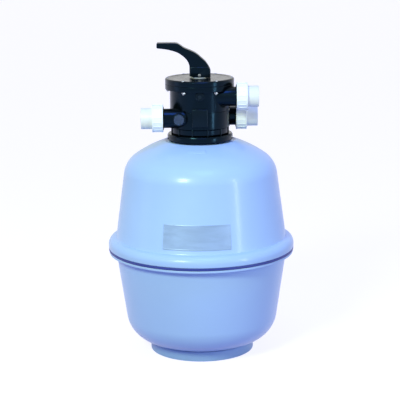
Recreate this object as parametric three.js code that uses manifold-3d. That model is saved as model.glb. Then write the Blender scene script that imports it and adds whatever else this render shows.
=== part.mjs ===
// Top-mount sand filter: a two-shell moulded tank on a ring pedestal, a six-way selector valve clamped
// to its neck, three pipe unions, and the pipework and sand inside. Millimetres, +Z up, the origin on
// the floor under the tank's axis, -Y is the front with the rating plate, the pump port is at +X.
import * as THREE from "three";
import { mergeVertices } from "three/addons/utils/BufferGeometryUtils.js";
import Module from "manifold-3d";

const wasm = await Module();
wasm.setup();

// ---------------------------------------------------------------- driving dimensions
const GAP = 0.3; // between faces that touch
const TURN_GAP = 0.5; // round a piece that turns or slides
const PAST = 5; // how far a cutter runs past what it cuts

const WALL_RADIUS = 247; // of the upper shell at the seam
const SHELL_STEP = 2.2; // how much narrower the lower shell is
const TANK_WALL = 6.5;
const FLOOR_CLEARANCE = 4.5; // from the floor to the lower pole
const UPPER = { wallRadius: WALL_RADIUS, draft: 0.136, knuckle: 72.1, crown: 324, depth: 326.5 };
const LOWER = {
  wallRadius: WALL_RADIUS - SHELL_STEP, draft: 0.145, knuckle: 84.7, crown: 455, depth: 294.5,
};
const SEAM_Z = FLOOR_CLEARANCE + LOWER.depth;
const POLE_TRIM = 2; // radius of the flat at the lower pole
const FLANGE_OVERHANG = 17.5;
const FLANGE_HEIGHT = 30.5; // the upper shell's skirt over the seam
const FLANGE_ROUND = 20.5;
const LIP_THICKNESS = 7.5; // the lower shell's lip
const LIP_INSET = 1.5; // of the lip from the flange's edge
const SEAL_THICKNESS = 7.4;
const SEAL_INNER_LIP = 3;
const SEAL_TONGUE = { inset: 6.5, width: 9, height: 8 };
const FLANGE_RADIUS = WALL_RADIUS + FLANGE_OVERHANG;

const FOOT_RADIUS = 148;
const FOOT_WIDTH = 30;
const FOOT_WALL = 4.5;

const NECK_BORE = 68;
const NECK_RADIUS = NECK_BORE + 9;
const NECK_FLANGE_RADIUS = NECK_RADIUS + 4.5;
const NECK_FLANGE_THICKNESS = 6;
const NECK_HEIGHT = 12.5; // from the trough round the neck to its top face
const TROUGH_RADIUS = NECK_RADIUS + 23;
const TROUGH_DEPTH = 2.2;
const TROUGH_LEAN = 1; // how far the trough's side slopes in
const NECK_SEAL = { radius: NECK_BORE + 10, section: 1.9, groove: 4 };

const PLATE = { width: 189, height: 69, thickness: 0.9, aboveSeam: 47, turn: -2.9, columns: 12, rows: 1 };
const BADGE = {
  width: 50, height: 17, thickness: 1, radius: TROUGH_RADIUS + 31, turn: -4, columns: 6, rows: 2,
};

const DRAIN_BORE = 9;
const DRAIN_FACE = LOWER.wallRadius - 25.8; // the boss's end face, along +Y
const DRAIN = {
  z: 76, bore: DRAIN_BORE, radius: DRAIN_BORE + 5.2, boss: DRAIN_BORE + 10, depth: 16,
  start: DRAIN_FACE - 35, face: DRAIN_FACE, end: DRAIN_FACE + 19,
};
const DRAIN_CAP = { radius: DRAIN.radius + 5.8, end: DRAIN.end + 4.5, clearance: 0.8 };

const SAND_ABOVE_SEAM = 101;
const SAND_GAP = 2; // between the sand and the tank
const SAND_CLEARANCE = 0.6; // round the pipework
const SAND_POCKET = { beyond: 4, around: 1 }; // for the drain's inner end
const SAND_STEP = 4; // from the seam to where the upper wall's own line starts
const PIPE = { radius: 25, bore: 22.5, bottom: 62, aboveSkirt: 2 };
const HUB = { radius: PIPE.radius + 11, bottom: 46, height: 36, floor: 4 };
const LATERAL = {
  count: 6, first: 30, radius: 8, bore: 6, start: HUB.radius - 7, end: 165, cap: 3, aboveHub: 4,
  slots: 2, slotWidth: 2, slotFrom: -10, slotTo: -2,
};
const DIFFUSER = {
  wall: 2.5, depth: 46, lip: NECK_BORE + 3.5, lipThickness: 2.1, slots: 8, slotWidth: 8,
  slotBottom: 6, slotHeadroom: 2,
};

const CLAMP_RADIUS = NECK_FLANGE_RADIUS + 10.5;
const CLAMP_LIP = 3.2;
const CLAMP_CHAMFER = 1.5;
const CLAMP_CLEARANCE = 0.6; // round the two flanges
const CLAMP_BORE = NECK_RADIUS + 1;
const CLAMP_SCREW = {
  radius: 2.5, head: 4.1, reach: 11, headLength: 5, nut: 4, centre: NECK_FLANGE_RADIUS + 5.4,
  pocket: 17,
};

// Valve heights are from its seat on the neck; the ports run along X.
const SKIRT_RADIUS = NECK_RADIUS;
const SKIRT_BORE = NECK_BORE + 2.5;
const SKIRT_HEIGHT = 30;
const BODY_RADIUS = SKIRT_RADIUS + 7;
const SHOULDER_RADIUS = BODY_RADIUS - 2.5; // of the skirt over the clamp
const SHOULDER = { rise: 4, drop: 3 };
const BODY_WALL = 7;
const CHAMBER_RADIUS = BODY_RADIUS - BODY_WALL;
const BODY_GROOVE = { depth: 1.2, start: 3, width: 3, slope: 1 }; // round the body under the deck
const VALVE_FLANGE_THICKNESS = 5.7;
const DECK_THICKNESS = 5;
const RIB = { count: 12, first: 15, halfWidth: 2 };
const SECTORS = 6;
const SECTOR_WALL = 4;
const SECTOR_TRIM = 0.7; // share of the wall's angle that the sectors give up
const SECTOR_FLOOR = 5;
const CENTRE_TUBE = { radius: PIPE.radius + 5, drop: 12, roof: 4 };
const BOTTOM_WAY = {
  halfWidth: 12, inner: 15, outer: CENTRE_TUBE.radius + 4, above: 4, below: 6,
};
const WINDOW = { inner: CENTRE_TUBE.radius + 6, outer: SKIRT_BORE - 4.5, halfAngle: 22 };
const COVER_RADIUS = BODY_RADIUS + 13;
const BODY_FLANGE = 15;
const COVER_THICKNESS = 15.7;
const COVER_PLUG = 6; // how far the cover's rim reaches into the chamber
const COVER_CLEARANCE = 0.8; // of that rim
const COVER_SKIN = 7.5;
const COVER_RIM = 7;
const COVER_CHAMFER = 3;
const COVER_SEAL = { radius: CHAMBER_RADIUS + 2.2, section: 1.4 };
const BOLT_CIRCLE = BODY_RADIUS + 6;
const SCREW_RADIUS = 2.8;
const SCREW = { radius: SCREW_RADIUS, head: SCREW_RADIUS + 2.4, headHeight: 4.5, sunk: 3.7, below: 7.5 };
const NUT_CORNER = SCREW.radius + 2.4;
const NUT_THICKNESS = 4;

const PORT_BORE = 19;
const PORT_RADIUS = PORT_BORE + 8;
const PORT_ROOT = 40; // from the valve's axis to where the port's outside starts
const PORT_DEPTH = 50; // from the valve's axis to where the bore starts
const PORT_REACH = BODY_RADIUS + 32.5; // from the valve's axis to the end face of each port
const SOCKET = { bore: 25.2, wall: 4.2, depth: 28, length: 39.2 };
const THREAD_RADIUS = SOCKET.bore + SOCKET.wall + 4.1;
const THREAD_LENGTH = 16;
const THREAD_CLEARANCE = 0.9;
const UNION_NUT = { radius: THREAD_RADIUS + 5.2, start: PORT_REACH - 14.2, end: PORT_REACH + 16.5 };
const TAIL_FLANGE = 8;
const SOCKET_END = PORT_REACH + GAP + TAIL_FLANGE + SOCKET.length;
const UNION_SEAL = { radius: (PORT_BORE + THREAD_RADIUS) / 2 + 2.25, section: 1.6, groove: 3.4 };
const PUMP_PORT = { y: -45, aboveDeck: 15, side: 1 };
const RETURN_PORT = { y: 45, belowDeck: 10, side: 1 };
const WASTE_PORT = { y: -50, belowDeck: 1, side: -1 };
const PORT_HEADROOM = 5; // from the pump port's wall to the top of the body
const DECK_BOTTOM = SKIRT_HEIGHT + 1 + 2 * PORT_BORE + RETURN_PORT.belowDeck;
const DECK_TOP = DECK_BOTTOM + DECK_THICKNESS;
const PUMP_Z = DECK_TOP + PUMP_PORT.aboveDeck + PORT_BORE;
const RETURN_Z = DECK_BOTTOM - RETURN_PORT.belowDeck - PORT_BORE;
const WASTE_Z = DECK_BOTTOM - WASTE_PORT.belowDeck - PORT_BORE;
const BODY_TOP = PUMP_Z + PORT_RADIUS + PORT_HEADROOM;

const PAD = {
  halfWidth: 21.5, bottom: SKIRT_HEIGHT + 8, top: DECK_TOP + 5, front: BODY_RADIUS + 7.5,
};
const SIGHT = {
  x: -58, radius: 18, root: 40, face: BODY_RADIUS - 1, bore: 11.5, boreStart: 50, glass: 14.5,
  thickness: 3, depth: 8,
};
const PLUG = {
  z: PUMP_Z + 5, boss: 13, root: 60, face: BODY_RADIUS + 3, boreStart: CHAMBER_RADIUS - 7,
  thread: 6.5, hex: 9.5, head: 5, depth: 12,
};

const STEM_RADIUS = 9;
const GASKET_THICKNESS = 2.7;
const GASKET_MARGIN = 5; // inside and outside the windows
const ROTOR = {
  radius: CHAMBER_RADIUS - 6, thickness: 6, hump: 9, skin: 4, spread: 52, lap: 3,
  pivot: STEM_RADIUS - 1, pivotDepth: 4,
};
const SPRING_SEAT = { radius: STEM_RADIUS + 4, height: 13 };
const SPRING = { radius: STEM_RADIUS + 8, wire: 3.4, turns: 4.5, stepsPerTurn: 8, sides: 3 };
const SPRING_WASHER = { radius: SPRING.radius + 5, thickness: 1.2 };
const COVER_HUB = { radius: STEM_RADIUS + 15, drop: 4.3 };
const STEM_SEAL = { radius: STEM_RADIUS + 2, section: 1.5 };

const WASHER = { radius: STEM_RADIUS + 17, thickness: 1 };
const SLOT = { halfLength: STEM_RADIUS + 4.5, halfWidth: STEM_RADIUS + 0.6, top: 12 };
const LEVER = {
  width: 34, baseWidth: 2 * (SLOT.halfWidth + 12.4), baseTop: 30, heel: SLOT.halfLength + 5,
  relief: 22, left: 28, right: 31, baseInset: 1,
};
const PIN = { radius: 4, aboveCover: 8, length: LEVER.baseWidth - 1 };
const STEM_ABOVE_PIN = 9;
const LEVER_CHAMFER = { across: 5, down: 6 };
const LEVER_TIP = { x: -119, round: 3, top: 96.3, bottom: 81.6 }; // heights from the lever's foot
const LEVER_BACK = [
  [31, 20], [26, 31], [18, 43], [7.5, 53], [-9, 67], [-26, 75.6], [-42.6, 82.8], [-52, 89.5], [-64, 95.6],
  [-90, 96.6],
];
const LEVER_UNDER = [[-93, 78.7], [-76, 74.8], [-59, 68.5], [-43, 57], [-33, 45.5], [-28.5, 34]];

const TANK_SIDES = 32;
const VALVE_SIDES = 24;
const SMALL_SIDES = 16;
const TINY_SIDES = 8;
const HEX_SIDES = 6;
const ROUND_STEPS = 3; // of the flange's rounded edge
const KNUCKLE_STEPS = 3;
const OUTER_CROWN_STEP = 7; // widest angle, in degrees, that one flat of a crown covers
const INNER_CROWN_STEP = 10.5;
const UNSEEN_CROWN_STEP = 45;
const RING_STEPS = 6; // round a ring's section
const WEDGE_STEP = 11; // most degrees that half a flat of a wedge covers

// ---------------------------------------------------------------- what follows from them
const LIP_TOP = SEAM_Z - SEAL_THICKNESS / 2 - GAP;
const SKIRT_BOTTOM = SEAM_Z + SEAL_THICKNESS / 2 + GAP;
const crownCentreZ = SEAM_Z + UPPER.depth - UPPER.crown;
const crownZ = (radius) => crownCentreZ + Math.sqrt(UPPER.crown ** 2 - radius ** 2);
const TROUGH_Z = crownZ(TROUGH_RADIUS) - TROUGH_DEPTH;
const SEAT_Z = TROUGH_Z + NECK_HEIGHT;
const SAND_TOP = SEAM_Z + SAND_ABOVE_SEAM;
const LATERAL_Z = HUB.bottom + LATERAL.radius + LATERAL.aboveHub;

const COVER_BOTTOM = BODY_TOP + GAP;
const COVER_TOP = COVER_BOTTOM + COVER_THICKNESS;
const HUB_BOTTOM = COVER_BOTTOM - COVER_HUB.drop;
const GASKET_BOTTOM = DECK_TOP + GAP;
const ROTOR_BOTTOM = GASKET_BOTTOM + GASKET_THICKNESS + GAP;
const ROTOR_TOP = ROTOR_BOTTOM + ROTOR.thickness;
const PIN_Z = COVER_TOP + PIN.aboveCover;
const LEVER_BOTTOM = COVER_TOP + GAP + WASHER.thickness + TURN_GAP;
const SECTOR_ANGLE = 360 / SECTORS;

const BLUE = { color: 0x9fbdf5, roughness: 0.35, metalness: 0 };
const SEAL_BLUE = { color: 0x283b87, roughness: 0.5, metalness: 0 };
const BLACK = { color: 0x14181c, roughness: 0.3, metalness: 0 };
const WHITE = { color: 0xf4f8ff, roughness: 0.35, metalness: 0 };
const RUBBER = { color: 0x1b1b1d, roughness: 0.8, metalness: 0 };
const STEEL = { color: 0xc8ccd0, roughness: 0.3, metalness: 1 };
const GREY = { color: 0xaecbe9, roughness: 0.4, metalness: 0 };
const CLEAR = { color: 0xbcd4ea, roughness: 0.1, metalness: 0 };
const SAND = { color: 0xcbb68c, roughness: 0.95, metalness: 0 };

// ---------------------------------------------------------------- geometry helpers
const radians = THREE.MathUtils.degToRad;

/** The manifold solid of a closed geometry; a solid is passed through. */
function solidOf(shape) {
  if (!shape.isBufferGeometry) return shape;
  const bare = shape.clone();
  for (const name of Object.keys(bare.attributes)) {
    if (name !== "position") bare.deleteAttribute(name);
  }
  const merged = mergeVertices(bare, 1e-4);
  const vertProperties = merged.attributes.position.array;
  const triVerts = new Uint32Array(merged.index.array);
  return new wasm.Manifold(new wasm.Mesh({ numProp: 3, vertProperties, triVerts }));
}

const weld = (...shapes) => shapes.map(solidOf).reduce((whole, next) => whole.add(next));

const carve = (shape, ...tools) =>
  tools.map(solidOf).reduce((rest, tool) => rest.subtract(tool), solidOf(shape));

/** A named mesh of one closed shape. */
function piece(name, shape, finish) {
  let geometry = shape;
  if (!shape.isBufferGeometry) {
    const { vertProperties, triVerts } = shape.getMesh();
    geometry = new THREE.BufferGeometry();
    geometry.setAttribute("position", new THREE.BufferAttribute(vertProperties, 3));
    geometry.setIndex(new THREE.BufferAttribute(triVerts, 1));
    geometry = geometry.toNonIndexed();
    geometry.computeVertexNormals();
  }
  const mesh = new THREE.Mesh(geometry, new THREE.MeshStandardMaterial(finish));
  mesh.name = name;
  return mesh;
}

/** A closed outline of [radius, z] points turned about Z; on-axis ends stay open there. */
function turned(outline, sides = VALVE_SIDES) {
  const twiceArea = outline.reduce((sum, [r, z], i) => {
    const [nextR, nextZ] = outline[(i + 1) % outline.length];
    return sum + r * nextZ - nextR * z;
  }, 0);
  const ordered = twiceArea < 0 ? [...outline].reverse() : outline;
  const points = ordered.map(([r, z]) => new THREE.Vector2(r, z));
  if (points[0].x > 0 || points.at(-1).x > 0) points.push(points[0].clone());
  return new THREE.LatheGeometry(points, sides).rotateX(Math.PI / 2);
}

const tube = (inner, outer, bottom, top, sides) =>
  turned([[inner, bottom], [outer, bottom], [outer, top], [inner, top]], sides);

/** A ring of round section about Z. */
function torus(radius, section, z, sides = SMALL_SIDES) {
  const outline = [];
  for (let i = 0; i < RING_STEPS; i += 1) {
    const angle = (2 * Math.PI * i) / RING_STEPS;
    outline.push([radius + section * Math.cos(angle), z + section * Math.sin(angle)]);
  }
  return turned(outline, sides);
}

/** A cylinder between two points. */
function rod(radius, start, end, sides = SMALL_SIDES) {
  const from = new THREE.Vector3(...start);
  const run = new THREE.Vector3(...end).sub(from);
  const geometry = new THREE.CylinderGeometry(radius, radius, run.length(), sides);
  const upright = new THREE.Vector3(0, 1, 0);
  const turn = new THREE.Quaternion().setFromUnitVectors(upright, run.clone().normalize());
  const middle = from.addScaledVector(run, 0.5);
  return geometry.applyQuaternion(turn).translate(middle.x, middle.y, middle.z);
}

const upright = (radius, x, y, bottom, top, sides) => rod(radius, [x, y, bottom], [x, y, top], sides);

function block([x0, x1], [y0, y1], [z0, z1]) {
  const box = new THREE.BoxGeometry(x1 - x0, y1 - y0, z1 - z0);
  return box.translate((x0 + x1) / 2, (y0 + y1) / 2, (z0 + z1) / 2);
}

/** A ring sector between two radii, centred on an angle in degrees. */
function wedge(inner, outer, centre, halfAngle, bottom, top) {
  const from = radians(centre - halfAngle);
  const to = radians(centre + halfAngle);
  const shape = new THREE.Shape();
  shape.absarc(0, 0, outer, from, to, false);
  shape.absarc(0, 0, inner, to, from, true);
  const steps = Math.ceil(halfAngle / WEDGE_STEP);
  const depth = top - bottom;
  return new THREE.ExtrudeGeometry(shape, { depth, bevelEnabled: false, curveSegments: steps })
    .translate(0, 0, bottom);
}

const angles = (count, first = 0) =>
  Array.from({ length: count }, (_, i) => first + (360 * i) / count);

const around = (radius, degrees) => [
  radius * Math.cos(radians(degrees)),
  radius * Math.sin(radians(degrees)),
];

// ---------------------------------------------------------------- tank shells
/** Where a drafted wall, its knuckle arc and the crown arc meet, set in from the outer skin. */
function shellArcs({ wallRadius, draft, knuckle, crown, depth }, inset) {
  const wall = wallRadius - inset / Math.cos(draft);
  const knuckleRadius = knuckle - inset;
  const crownRadius = crown - inset;
  const crownCentre = depth - crown;
  const slope = Math.tan(draft);
  const reach = wall - knuckleRadius / Math.cos(draft);
  const a = 1 + slope ** 2;
  const b = reach * slope + crownCentre;
  const c = reach ** 2 + crownCentre ** 2 - (crownRadius - knuckleRadius) ** 2;
  const kneeHeight = (b + Math.sqrt(b ** 2 - a * c)) / a;
  const kneeRadius = reach - slope * kneeHeight;
  const meet = Math.atan2(kneeHeight - crownCentre, kneeRadius);
  return { wall, slope, draft, knuckleRadius, crownRadius, crownCentre, kneeHeight, kneeRadius, meet };
}

/** [radius, height above the seam] from the wall over the knuckle to the crown at a radius. */
function shellOutline(arcs, fromHeight, rimRadius, widestStep) {
  const points = [[arcs.wall - arcs.slope * fromHeight, fromHeight]];
  for (let i = 0; i <= KNUCKLE_STEPS; i += 1) {
    const angle = arcs.draft + ((arcs.meet - arcs.draft) * i) / KNUCKLE_STEPS;
    points.push([
      arcs.kneeRadius + arcs.knuckleRadius * Math.cos(angle),
      arcs.kneeHeight + arcs.knuckleRadius * Math.sin(angle),
    ]);
  }
  const rimAngle = Math.acos(rimRadius / arcs.crownRadius);
  const crownSteps = Math.ceil((rimAngle - arcs.meet) / radians(widestStep));
  for (let i = 1; i <= crownSteps; i += 1) {
    const angle = arcs.meet + ((rimAngle - arcs.meet) * i) / crownSteps;
    points.push([
      arcs.crownRadius * Math.cos(angle),
      arcs.crownCentre + arcs.crownRadius * Math.sin(angle),
    ]);
  }
  return points;
}

const above = (points) => points.map(([r, h]) => [r, SEAM_Z + h]);
const below = (points) => points.map(([r, h]) => [r, SEAM_Z - h]);

const tongueInner = FLANGE_RADIUS - SEAL_TONGUE.inset - SEAL_TONGUE.width;
const tongueOuter = FLANGE_RADIUS - SEAL_TONGUE.inset;

function upperShell() {
  const outer = shellArcs(UPPER, 0);
  const inner = shellArcs(UPPER, TANK_WALL);
  const skirtTop = SKIRT_BOTTOM + FLANGE_HEIGHT;
  const roundZ = skirtTop - FLANGE_ROUND;
  const outline = [
    [tongueOuter + TURN_GAP, SKIRT_BOTTOM],
    [FLANGE_RADIUS, SKIRT_BOTTOM],
  ];
  for (let i = 0; i <= ROUND_STEPS; i += 1) {
    const angle = (Math.PI / 2) * (i / ROUND_STEPS);
    outline.push([
      FLANGE_RADIUS - FLANGE_ROUND * (1 - Math.cos(angle)),
      roundZ + FLANGE_ROUND * Math.sin(angle),
    ]);
  }
  const outerSkin = shellOutline(outer, skirtTop - SEAM_Z, TROUGH_RADIUS, OUTER_CROWN_STEP);
  outline.push(...above(outerSkin));
  outline.push(
    [TROUGH_RADIUS - TROUGH_LEAN, TROUGH_Z],
    [NECK_RADIUS, TROUGH_Z],
    [NECK_RADIUS, SEAT_Z - NECK_FLANGE_THICKNESS],
    [NECK_FLANGE_RADIUS, SEAT_Z - NECK_FLANGE_THICKNESS],
    [NECK_FLANGE_RADIUS, SEAT_Z],
    [NECK_SEAL.radius + NECK_SEAL.section + TURN_GAP, SEAT_Z],
    [NECK_SEAL.radius + NECK_SEAL.section + TURN_GAP, SEAT_Z - NECK_SEAL.groove],
    [NECK_SEAL.radius - NECK_SEAL.section - TURN_GAP, SEAT_Z - NECK_SEAL.groove],
    [NECK_SEAL.radius - NECK_SEAL.section - TURN_GAP, SEAT_Z],
    [DIFFUSER.lip + TURN_GAP, SEAT_Z],
    [DIFFUSER.lip + TURN_GAP, SEAT_Z - GAP - DIFFUSER.lipThickness - GAP],
    [NECK_BORE, SEAT_Z - GAP - DIFFUSER.lipThickness - GAP],
  );
  const innerTop = TROUGH_Z - TANK_WALL;
  const drop = innerTop - SEAM_Z - inner.crownCentre;
  const innerRim = Math.sqrt(inner.crownRadius ** 2 - drop ** 2);
  outline.push([NECK_BORE, innerTop]);
  const innerSkin = shellOutline(inner, SKIRT_BOTTOM - SEAM_Z, innerRim, UNSEEN_CROWN_STEP);
  outline.push(...above(innerSkin).reverse());
  outline.push(
    [tongueInner - TURN_GAP, SKIRT_BOTTOM],
    [tongueInner - TURN_GAP, SKIRT_BOTTOM + SEAL_TONGUE.height + 2 * TURN_GAP],
    [tongueOuter + TURN_GAP, SKIRT_BOTTOM + SEAL_TONGUE.height + 2 * TURN_GAP],
  );
  return turned(outline, TANK_SIDES);
}

function lowerShell() {
  const lipBottom = LIP_TOP - LIP_THICKNESS;
  const lipRadius = FLANGE_RADIUS - LIP_INSET;
  const outline = [[lipRadius, LIP_TOP], [lipRadius, lipBottom]];
  const outer = below(shellOutline(
    shellArcs(LOWER, 0), SEAM_Z - lipBottom, POLE_TRIM, OUTER_CROWN_STEP));
  const inner = below(shellOutline(
    shellArcs(LOWER, TANK_WALL), SEAM_Z - LIP_TOP, POLE_TRIM, INNER_CROWN_STEP));
  const skin = turned(
    [...outline, ...outer, [0, outer.at(-1)[1]], [0, inner.at(-1)[1]], ...inner.reverse()],
    TANK_SIDES,
  );
  const boss = rod(DRAIN.boss, [0, DRAIN.face - DRAIN.depth, DRAIN.z], [0, DRAIN.face, DRAIN.z]);
  const hole = rod(DRAIN.radius + GAP, [0, DRAIN.start - PAST, DRAIN.z], [0, DRAIN.face + PAST, DRAIN.z]);
  return carve(weld(skin, boss), hole);
}

function flangeSeal() {
  const bottom = SEAM_Z - SEAL_THICKNESS / 2;
  const top = SEAM_Z + SEAL_THICKNESS / 2;
  return turned([
    [tongueInner - SEAL_INNER_LIP, bottom],
    [FLANGE_RADIUS, bottom],
    [FLANGE_RADIUS, top],
    [tongueOuter, top],
    [tongueOuter, top + SEAL_TONGUE.height],
    [tongueInner, top + SEAL_TONGUE.height],
    [tongueInner, top],
    [tongueInner - SEAL_INNER_LIP, top],
  ], TANK_SIDES);
}

function pedestal() {
  const inner = FOOT_RADIUS - FOOT_WIDTH;
  const cradle = (radius, drop) => {
    const crownSpan = Math.sqrt(LOWER.crown ** 2 - radius ** 2);
    return [radius, FLOOR_CLEARANCE + LOWER.crown - crownSpan - GAP * 2 - drop];
  };
  const middle = FOOT_RADIUS - FOOT_WIDTH / 2;
  return turned([
    [inner, 0],
    [FOOT_RADIUS, 0],
    cradle(FOOT_RADIUS, 0),
    cradle(middle, 0),
    cradle(inner, 0),
    cradle(inner, FOOT_WALL),
    cradle(FOOT_RADIUS - FOOT_WALL, FOOT_WALL),
    [FOOT_RADIUS - FOOT_WALL, FOOT_WALL],
    [inner, FOOT_WALL],
  ], TANK_SIDES);
}

/** A thin plate bent onto the tank; place(turn in radians, distance up) gives radius and z. */
function bentPlate({ width, height, thickness, turn, columns, rows }, place) {
  const plate = new THREE.BoxGeometry(width, thickness, height, columns, 1, rows);
  const position = plate.attributes.position;
  const bendRadius = place(0, 0)[0];
  for (let i = 0; i < position.count; i += 1) {
    const angle = radians(turn) + position.getX(i) / bendRadius;
    const out = GAP + thickness / 2 - position.getY(i);
    const [radius, z] = place(out, position.getZ(i) + height / 2);
    position.setXYZ(i, radius * Math.sin(angle), -radius * Math.cos(angle), z);
  }
  return plate;
}

function ratingPlate() {
  const arcs = shellArcs(UPPER, 0);
  return bentPlate(PLATE, (out, up) => {
    const height = PLATE.aboveSeam + up * Math.cos(UPPER.draft);
    return [arcs.wall - arcs.slope * height + out, SEAM_Z + height];
  });
}

function shoulderBadge() {
  const base = Math.acos(BADGE.radius / UPPER.crown);
  return bentPlate(BADGE, (out, up) => {
    const angle = base + (up - BADGE.height / 2) / UPPER.crown;
    const span = UPPER.crown + out;
    return [span * Math.cos(angle), crownCentreZ + span * Math.sin(angle)];
  });
}

// ---------------------------------------------------------------- drain, pipework and sand
function drainSpigot() {
  const body = rod(DRAIN.radius, [0, DRAIN.start, DRAIN.z], [0, DRAIN.end, DRAIN.z]);
  return carve(body, rod(DRAIN.bore, [0, DRAIN.start - 1, DRAIN.z], [0, DRAIN.end + 1, DRAIN.z]));
}

function drainCap() {
  const { z } = DRAIN;
  const start = DRAIN.face + 2 * TURN_GAP;
  const body = rod(DRAIN_CAP.radius, [0, start, z], [0, DRAIN_CAP.end, z], TINY_SIDES);
  const bore = rod(DRAIN.radius + DRAIN_CAP.clearance, [0, start - 1, z], [0, DRAIN.end + TURN_GAP, z]);
  return carve(body, bore);
}

function standpipe() {
  const top = SEAT_Z + SKIRT_HEIGHT + PIPE.aboveSkirt;
  return tube(PIPE.bore, PIPE.radius, PIPE.bottom, top, SMALL_SIDES);
}

function lateralHub() {
  const top = HUB.bottom + HUB.height;
  const body = upright(HUB.radius, 0, 0, HUB.bottom, top);
  const seat = upright(PIPE.radius + TURN_GAP, 0, 0, PIPE.bottom - GAP, top + 1);
  const well = upright(PIPE.bore, 0, 0, HUB.bottom + HUB.floor, top);
  const sockets = angles(LATERAL.count, LATERAL.first).map((turn) => {
    const [x, y] = around(HUB.radius + 1, turn);
    return rod(LATERAL.radius + TURN_GAP, [0, 0, LATERAL_Z], [x, y, LATERAL_Z], TINY_SIDES);
  });
  return carve(body, seat, well, ...sockets);
}

function lateral(turn) {
  const start = around(LATERAL.start, turn);
  const inside = around(LATERAL.start - 1, turn);
  const stop = around(LATERAL.end - LATERAL.cap, turn);
  const end = around(LATERAL.end, turn);
  const body = rod(LATERAL.radius, [...start, LATERAL_Z], [...end, LATERAL_Z], TINY_SIDES);
  const bore = rod(LATERAL.bore, [...inside, LATERAL_Z], [...stop, LATERAL_Z], TINY_SIDES);
  const pitch = (LATERAL.end - HUB.radius) / (LATERAL.slots + 1);
  const slots = angles(LATERAL.slots).map((_, i) => {
    const x = HUB.radius + pitch * (i + 1);
    const across = [-LATERAL.radius, LATERAL.radius];
    const cut = block([x, x + LATERAL.slotWidth], across, [LATERAL.slotFrom, LATERAL.slotTo]);
    return cut.rotateZ(radians(turn)).translate(0, 0, LATERAL_Z);
  });
  return carve(body, bore, ...slots);
}

function sandBed() {
  const inset = TANK_WALL + SAND_GAP;
  const lower = below(shellOutline(
    shellArcs(LOWER, inset), 0, POLE_TRIM, INNER_CROWN_STEP));
  const upperWall = shellArcs(UPPER, inset);
  const outline = [
    [0, SAND_TOP],
    [upperWall.wall - upperWall.slope * SAND_ABOVE_SEAM, SAND_TOP],
    [upperWall.wall - upperWall.slope * SAND_STEP, SEAM_Z + SAND_STEP],
    ...lower,
    [0, lower.at(-1)[1]],
  ];
  const clear = SAND_CLEARANCE;
  const hubTop = HUB.bottom + HUB.height;
  const hub = upright(HUB.radius + clear, 0, 0, HUB.bottom - clear, hubTop + clear);
  const pipe = upright(PIPE.radius + clear, 0, 0, HUB.bottom, SAND_TOP + 1);
  const laterals = angles(LATERAL.count, LATERAL.first).map((turn) => {
    const end = around(LATERAL.end + clear, turn);
    return rod(LATERAL.radius + clear, [0, 0, LATERAL_Z], [...end, LATERAL_Z], TINY_SIDES);
  });
  const drainStart = [0, DRAIN.start - SAND_POCKET.beyond, DRAIN.z];
  const drain = rod(DRAIN.boss + SAND_POCKET.around, drainStart, [0, DRAIN.end, DRAIN.z]);
  return carve(turned(outline, SMALL_SIDES), hub, pipe, ...laterals, drain);
}

function topDiffuser() {
  const outer = NECK_BORE - TURN_GAP;
  const inner = outer - DIFFUSER.wall;
  const top = SEAT_Z - GAP;
  const bottom = top - DIFFUSER.depth;
  const basket = turned([
    [PIPE.radius + TURN_GAP, bottom],
    [outer, bottom],
    [outer, top - DIFFUSER.lipThickness],
    [DIFFUSER.lip, top - DIFFUSER.lipThickness],
    [DIFFUSER.lip, top],
    [inner, top],
    [inner, bottom + DIFFUSER.wall],
    [PIPE.radius + TURN_GAP, bottom + DIFFUSER.wall],
  ]);
  const across = [-DIFFUSER.slotWidth / 2, DIFFUSER.slotWidth / 2];
  const slotTop = TROUGH_Z - TANK_WALL - DIFFUSER.slotHeadroom;
  const slots = angles(DIFFUSER.slots).map((turn) =>
    block([inner - PAST, outer + PAST], across, [bottom + DIFFUSER.slotBottom, slotTop])
      .rotateZ(radians(turn)));
  return carve(basket, ...slots);
}

// ---------------------------------------------------------------- neck clamp
function clampHalf(side) {
  const grip = NECK_FLANGE_THICKNESS + GAP;
  const high = grip + CLAMP_LIP;
  const bed = NECK_FLANGE_RADIUS + CLAMP_CLEARANCE;
  const outline = [
    [CLAMP_BORE, -high],
    [CLAMP_RADIUS - CLAMP_CHAMFER, -high],
    [CLAMP_RADIUS, -high + CLAMP_CHAMFER],
    [CLAMP_RADIUS, high - CLAMP_CHAMFER],
    [CLAMP_RADIUS - CLAMP_CHAMFER, high],
    [CLAMP_BORE, high],
    [CLAMP_BORE, grip],
    [bed, grip],
    [bed, -grip],
    [CLAMP_BORE, -grip],
  ];
  const far = CLAMP_RADIUS + PAST;
  const across = side < 0 ? [-GAP / 2, far] : [-far, GAP / 2];
  const away = block([-far, far], across, [-far, far]);
  const cuts = [-1, 1].flatMap((hand) => {
    const { radius, head, reach, centre, pocket: pocketLength } = CLAMP_SCREW;
    const x = hand * centre;
    const pocketEnd = side * (reach + pocketLength);
    const pocket = block(
      hand > 0 ? [x - head - GAP, far] : [-far, x + head + GAP],
      [Math.min(side * reach, pocketEnd), Math.max(side * reach, pocketEnd)],
      [-head - GAP, head + GAP],
    );
    return [rod(radius + GAP, [x, 0, 0], [x, side * (reach + 1), 0], TINY_SIDES), pocket];
  });
  return carve(turned(outline, TANK_SIDES), away, ...cuts);
}

function clampScrew(hand) {
  const { radius, head, reach, headLength, centre } = CLAMP_SCREW;
  const x = hand * centre;
  const shank = rod(radius, [x, -reach - 1, 0], [x, reach + headLength, 0], TINY_SIDES);
  return weld(
    shank,
    rod(head, [x, -reach - GAP - headLength, 0], [x, -reach - GAP, 0], TINY_SIDES),
  );
}

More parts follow.
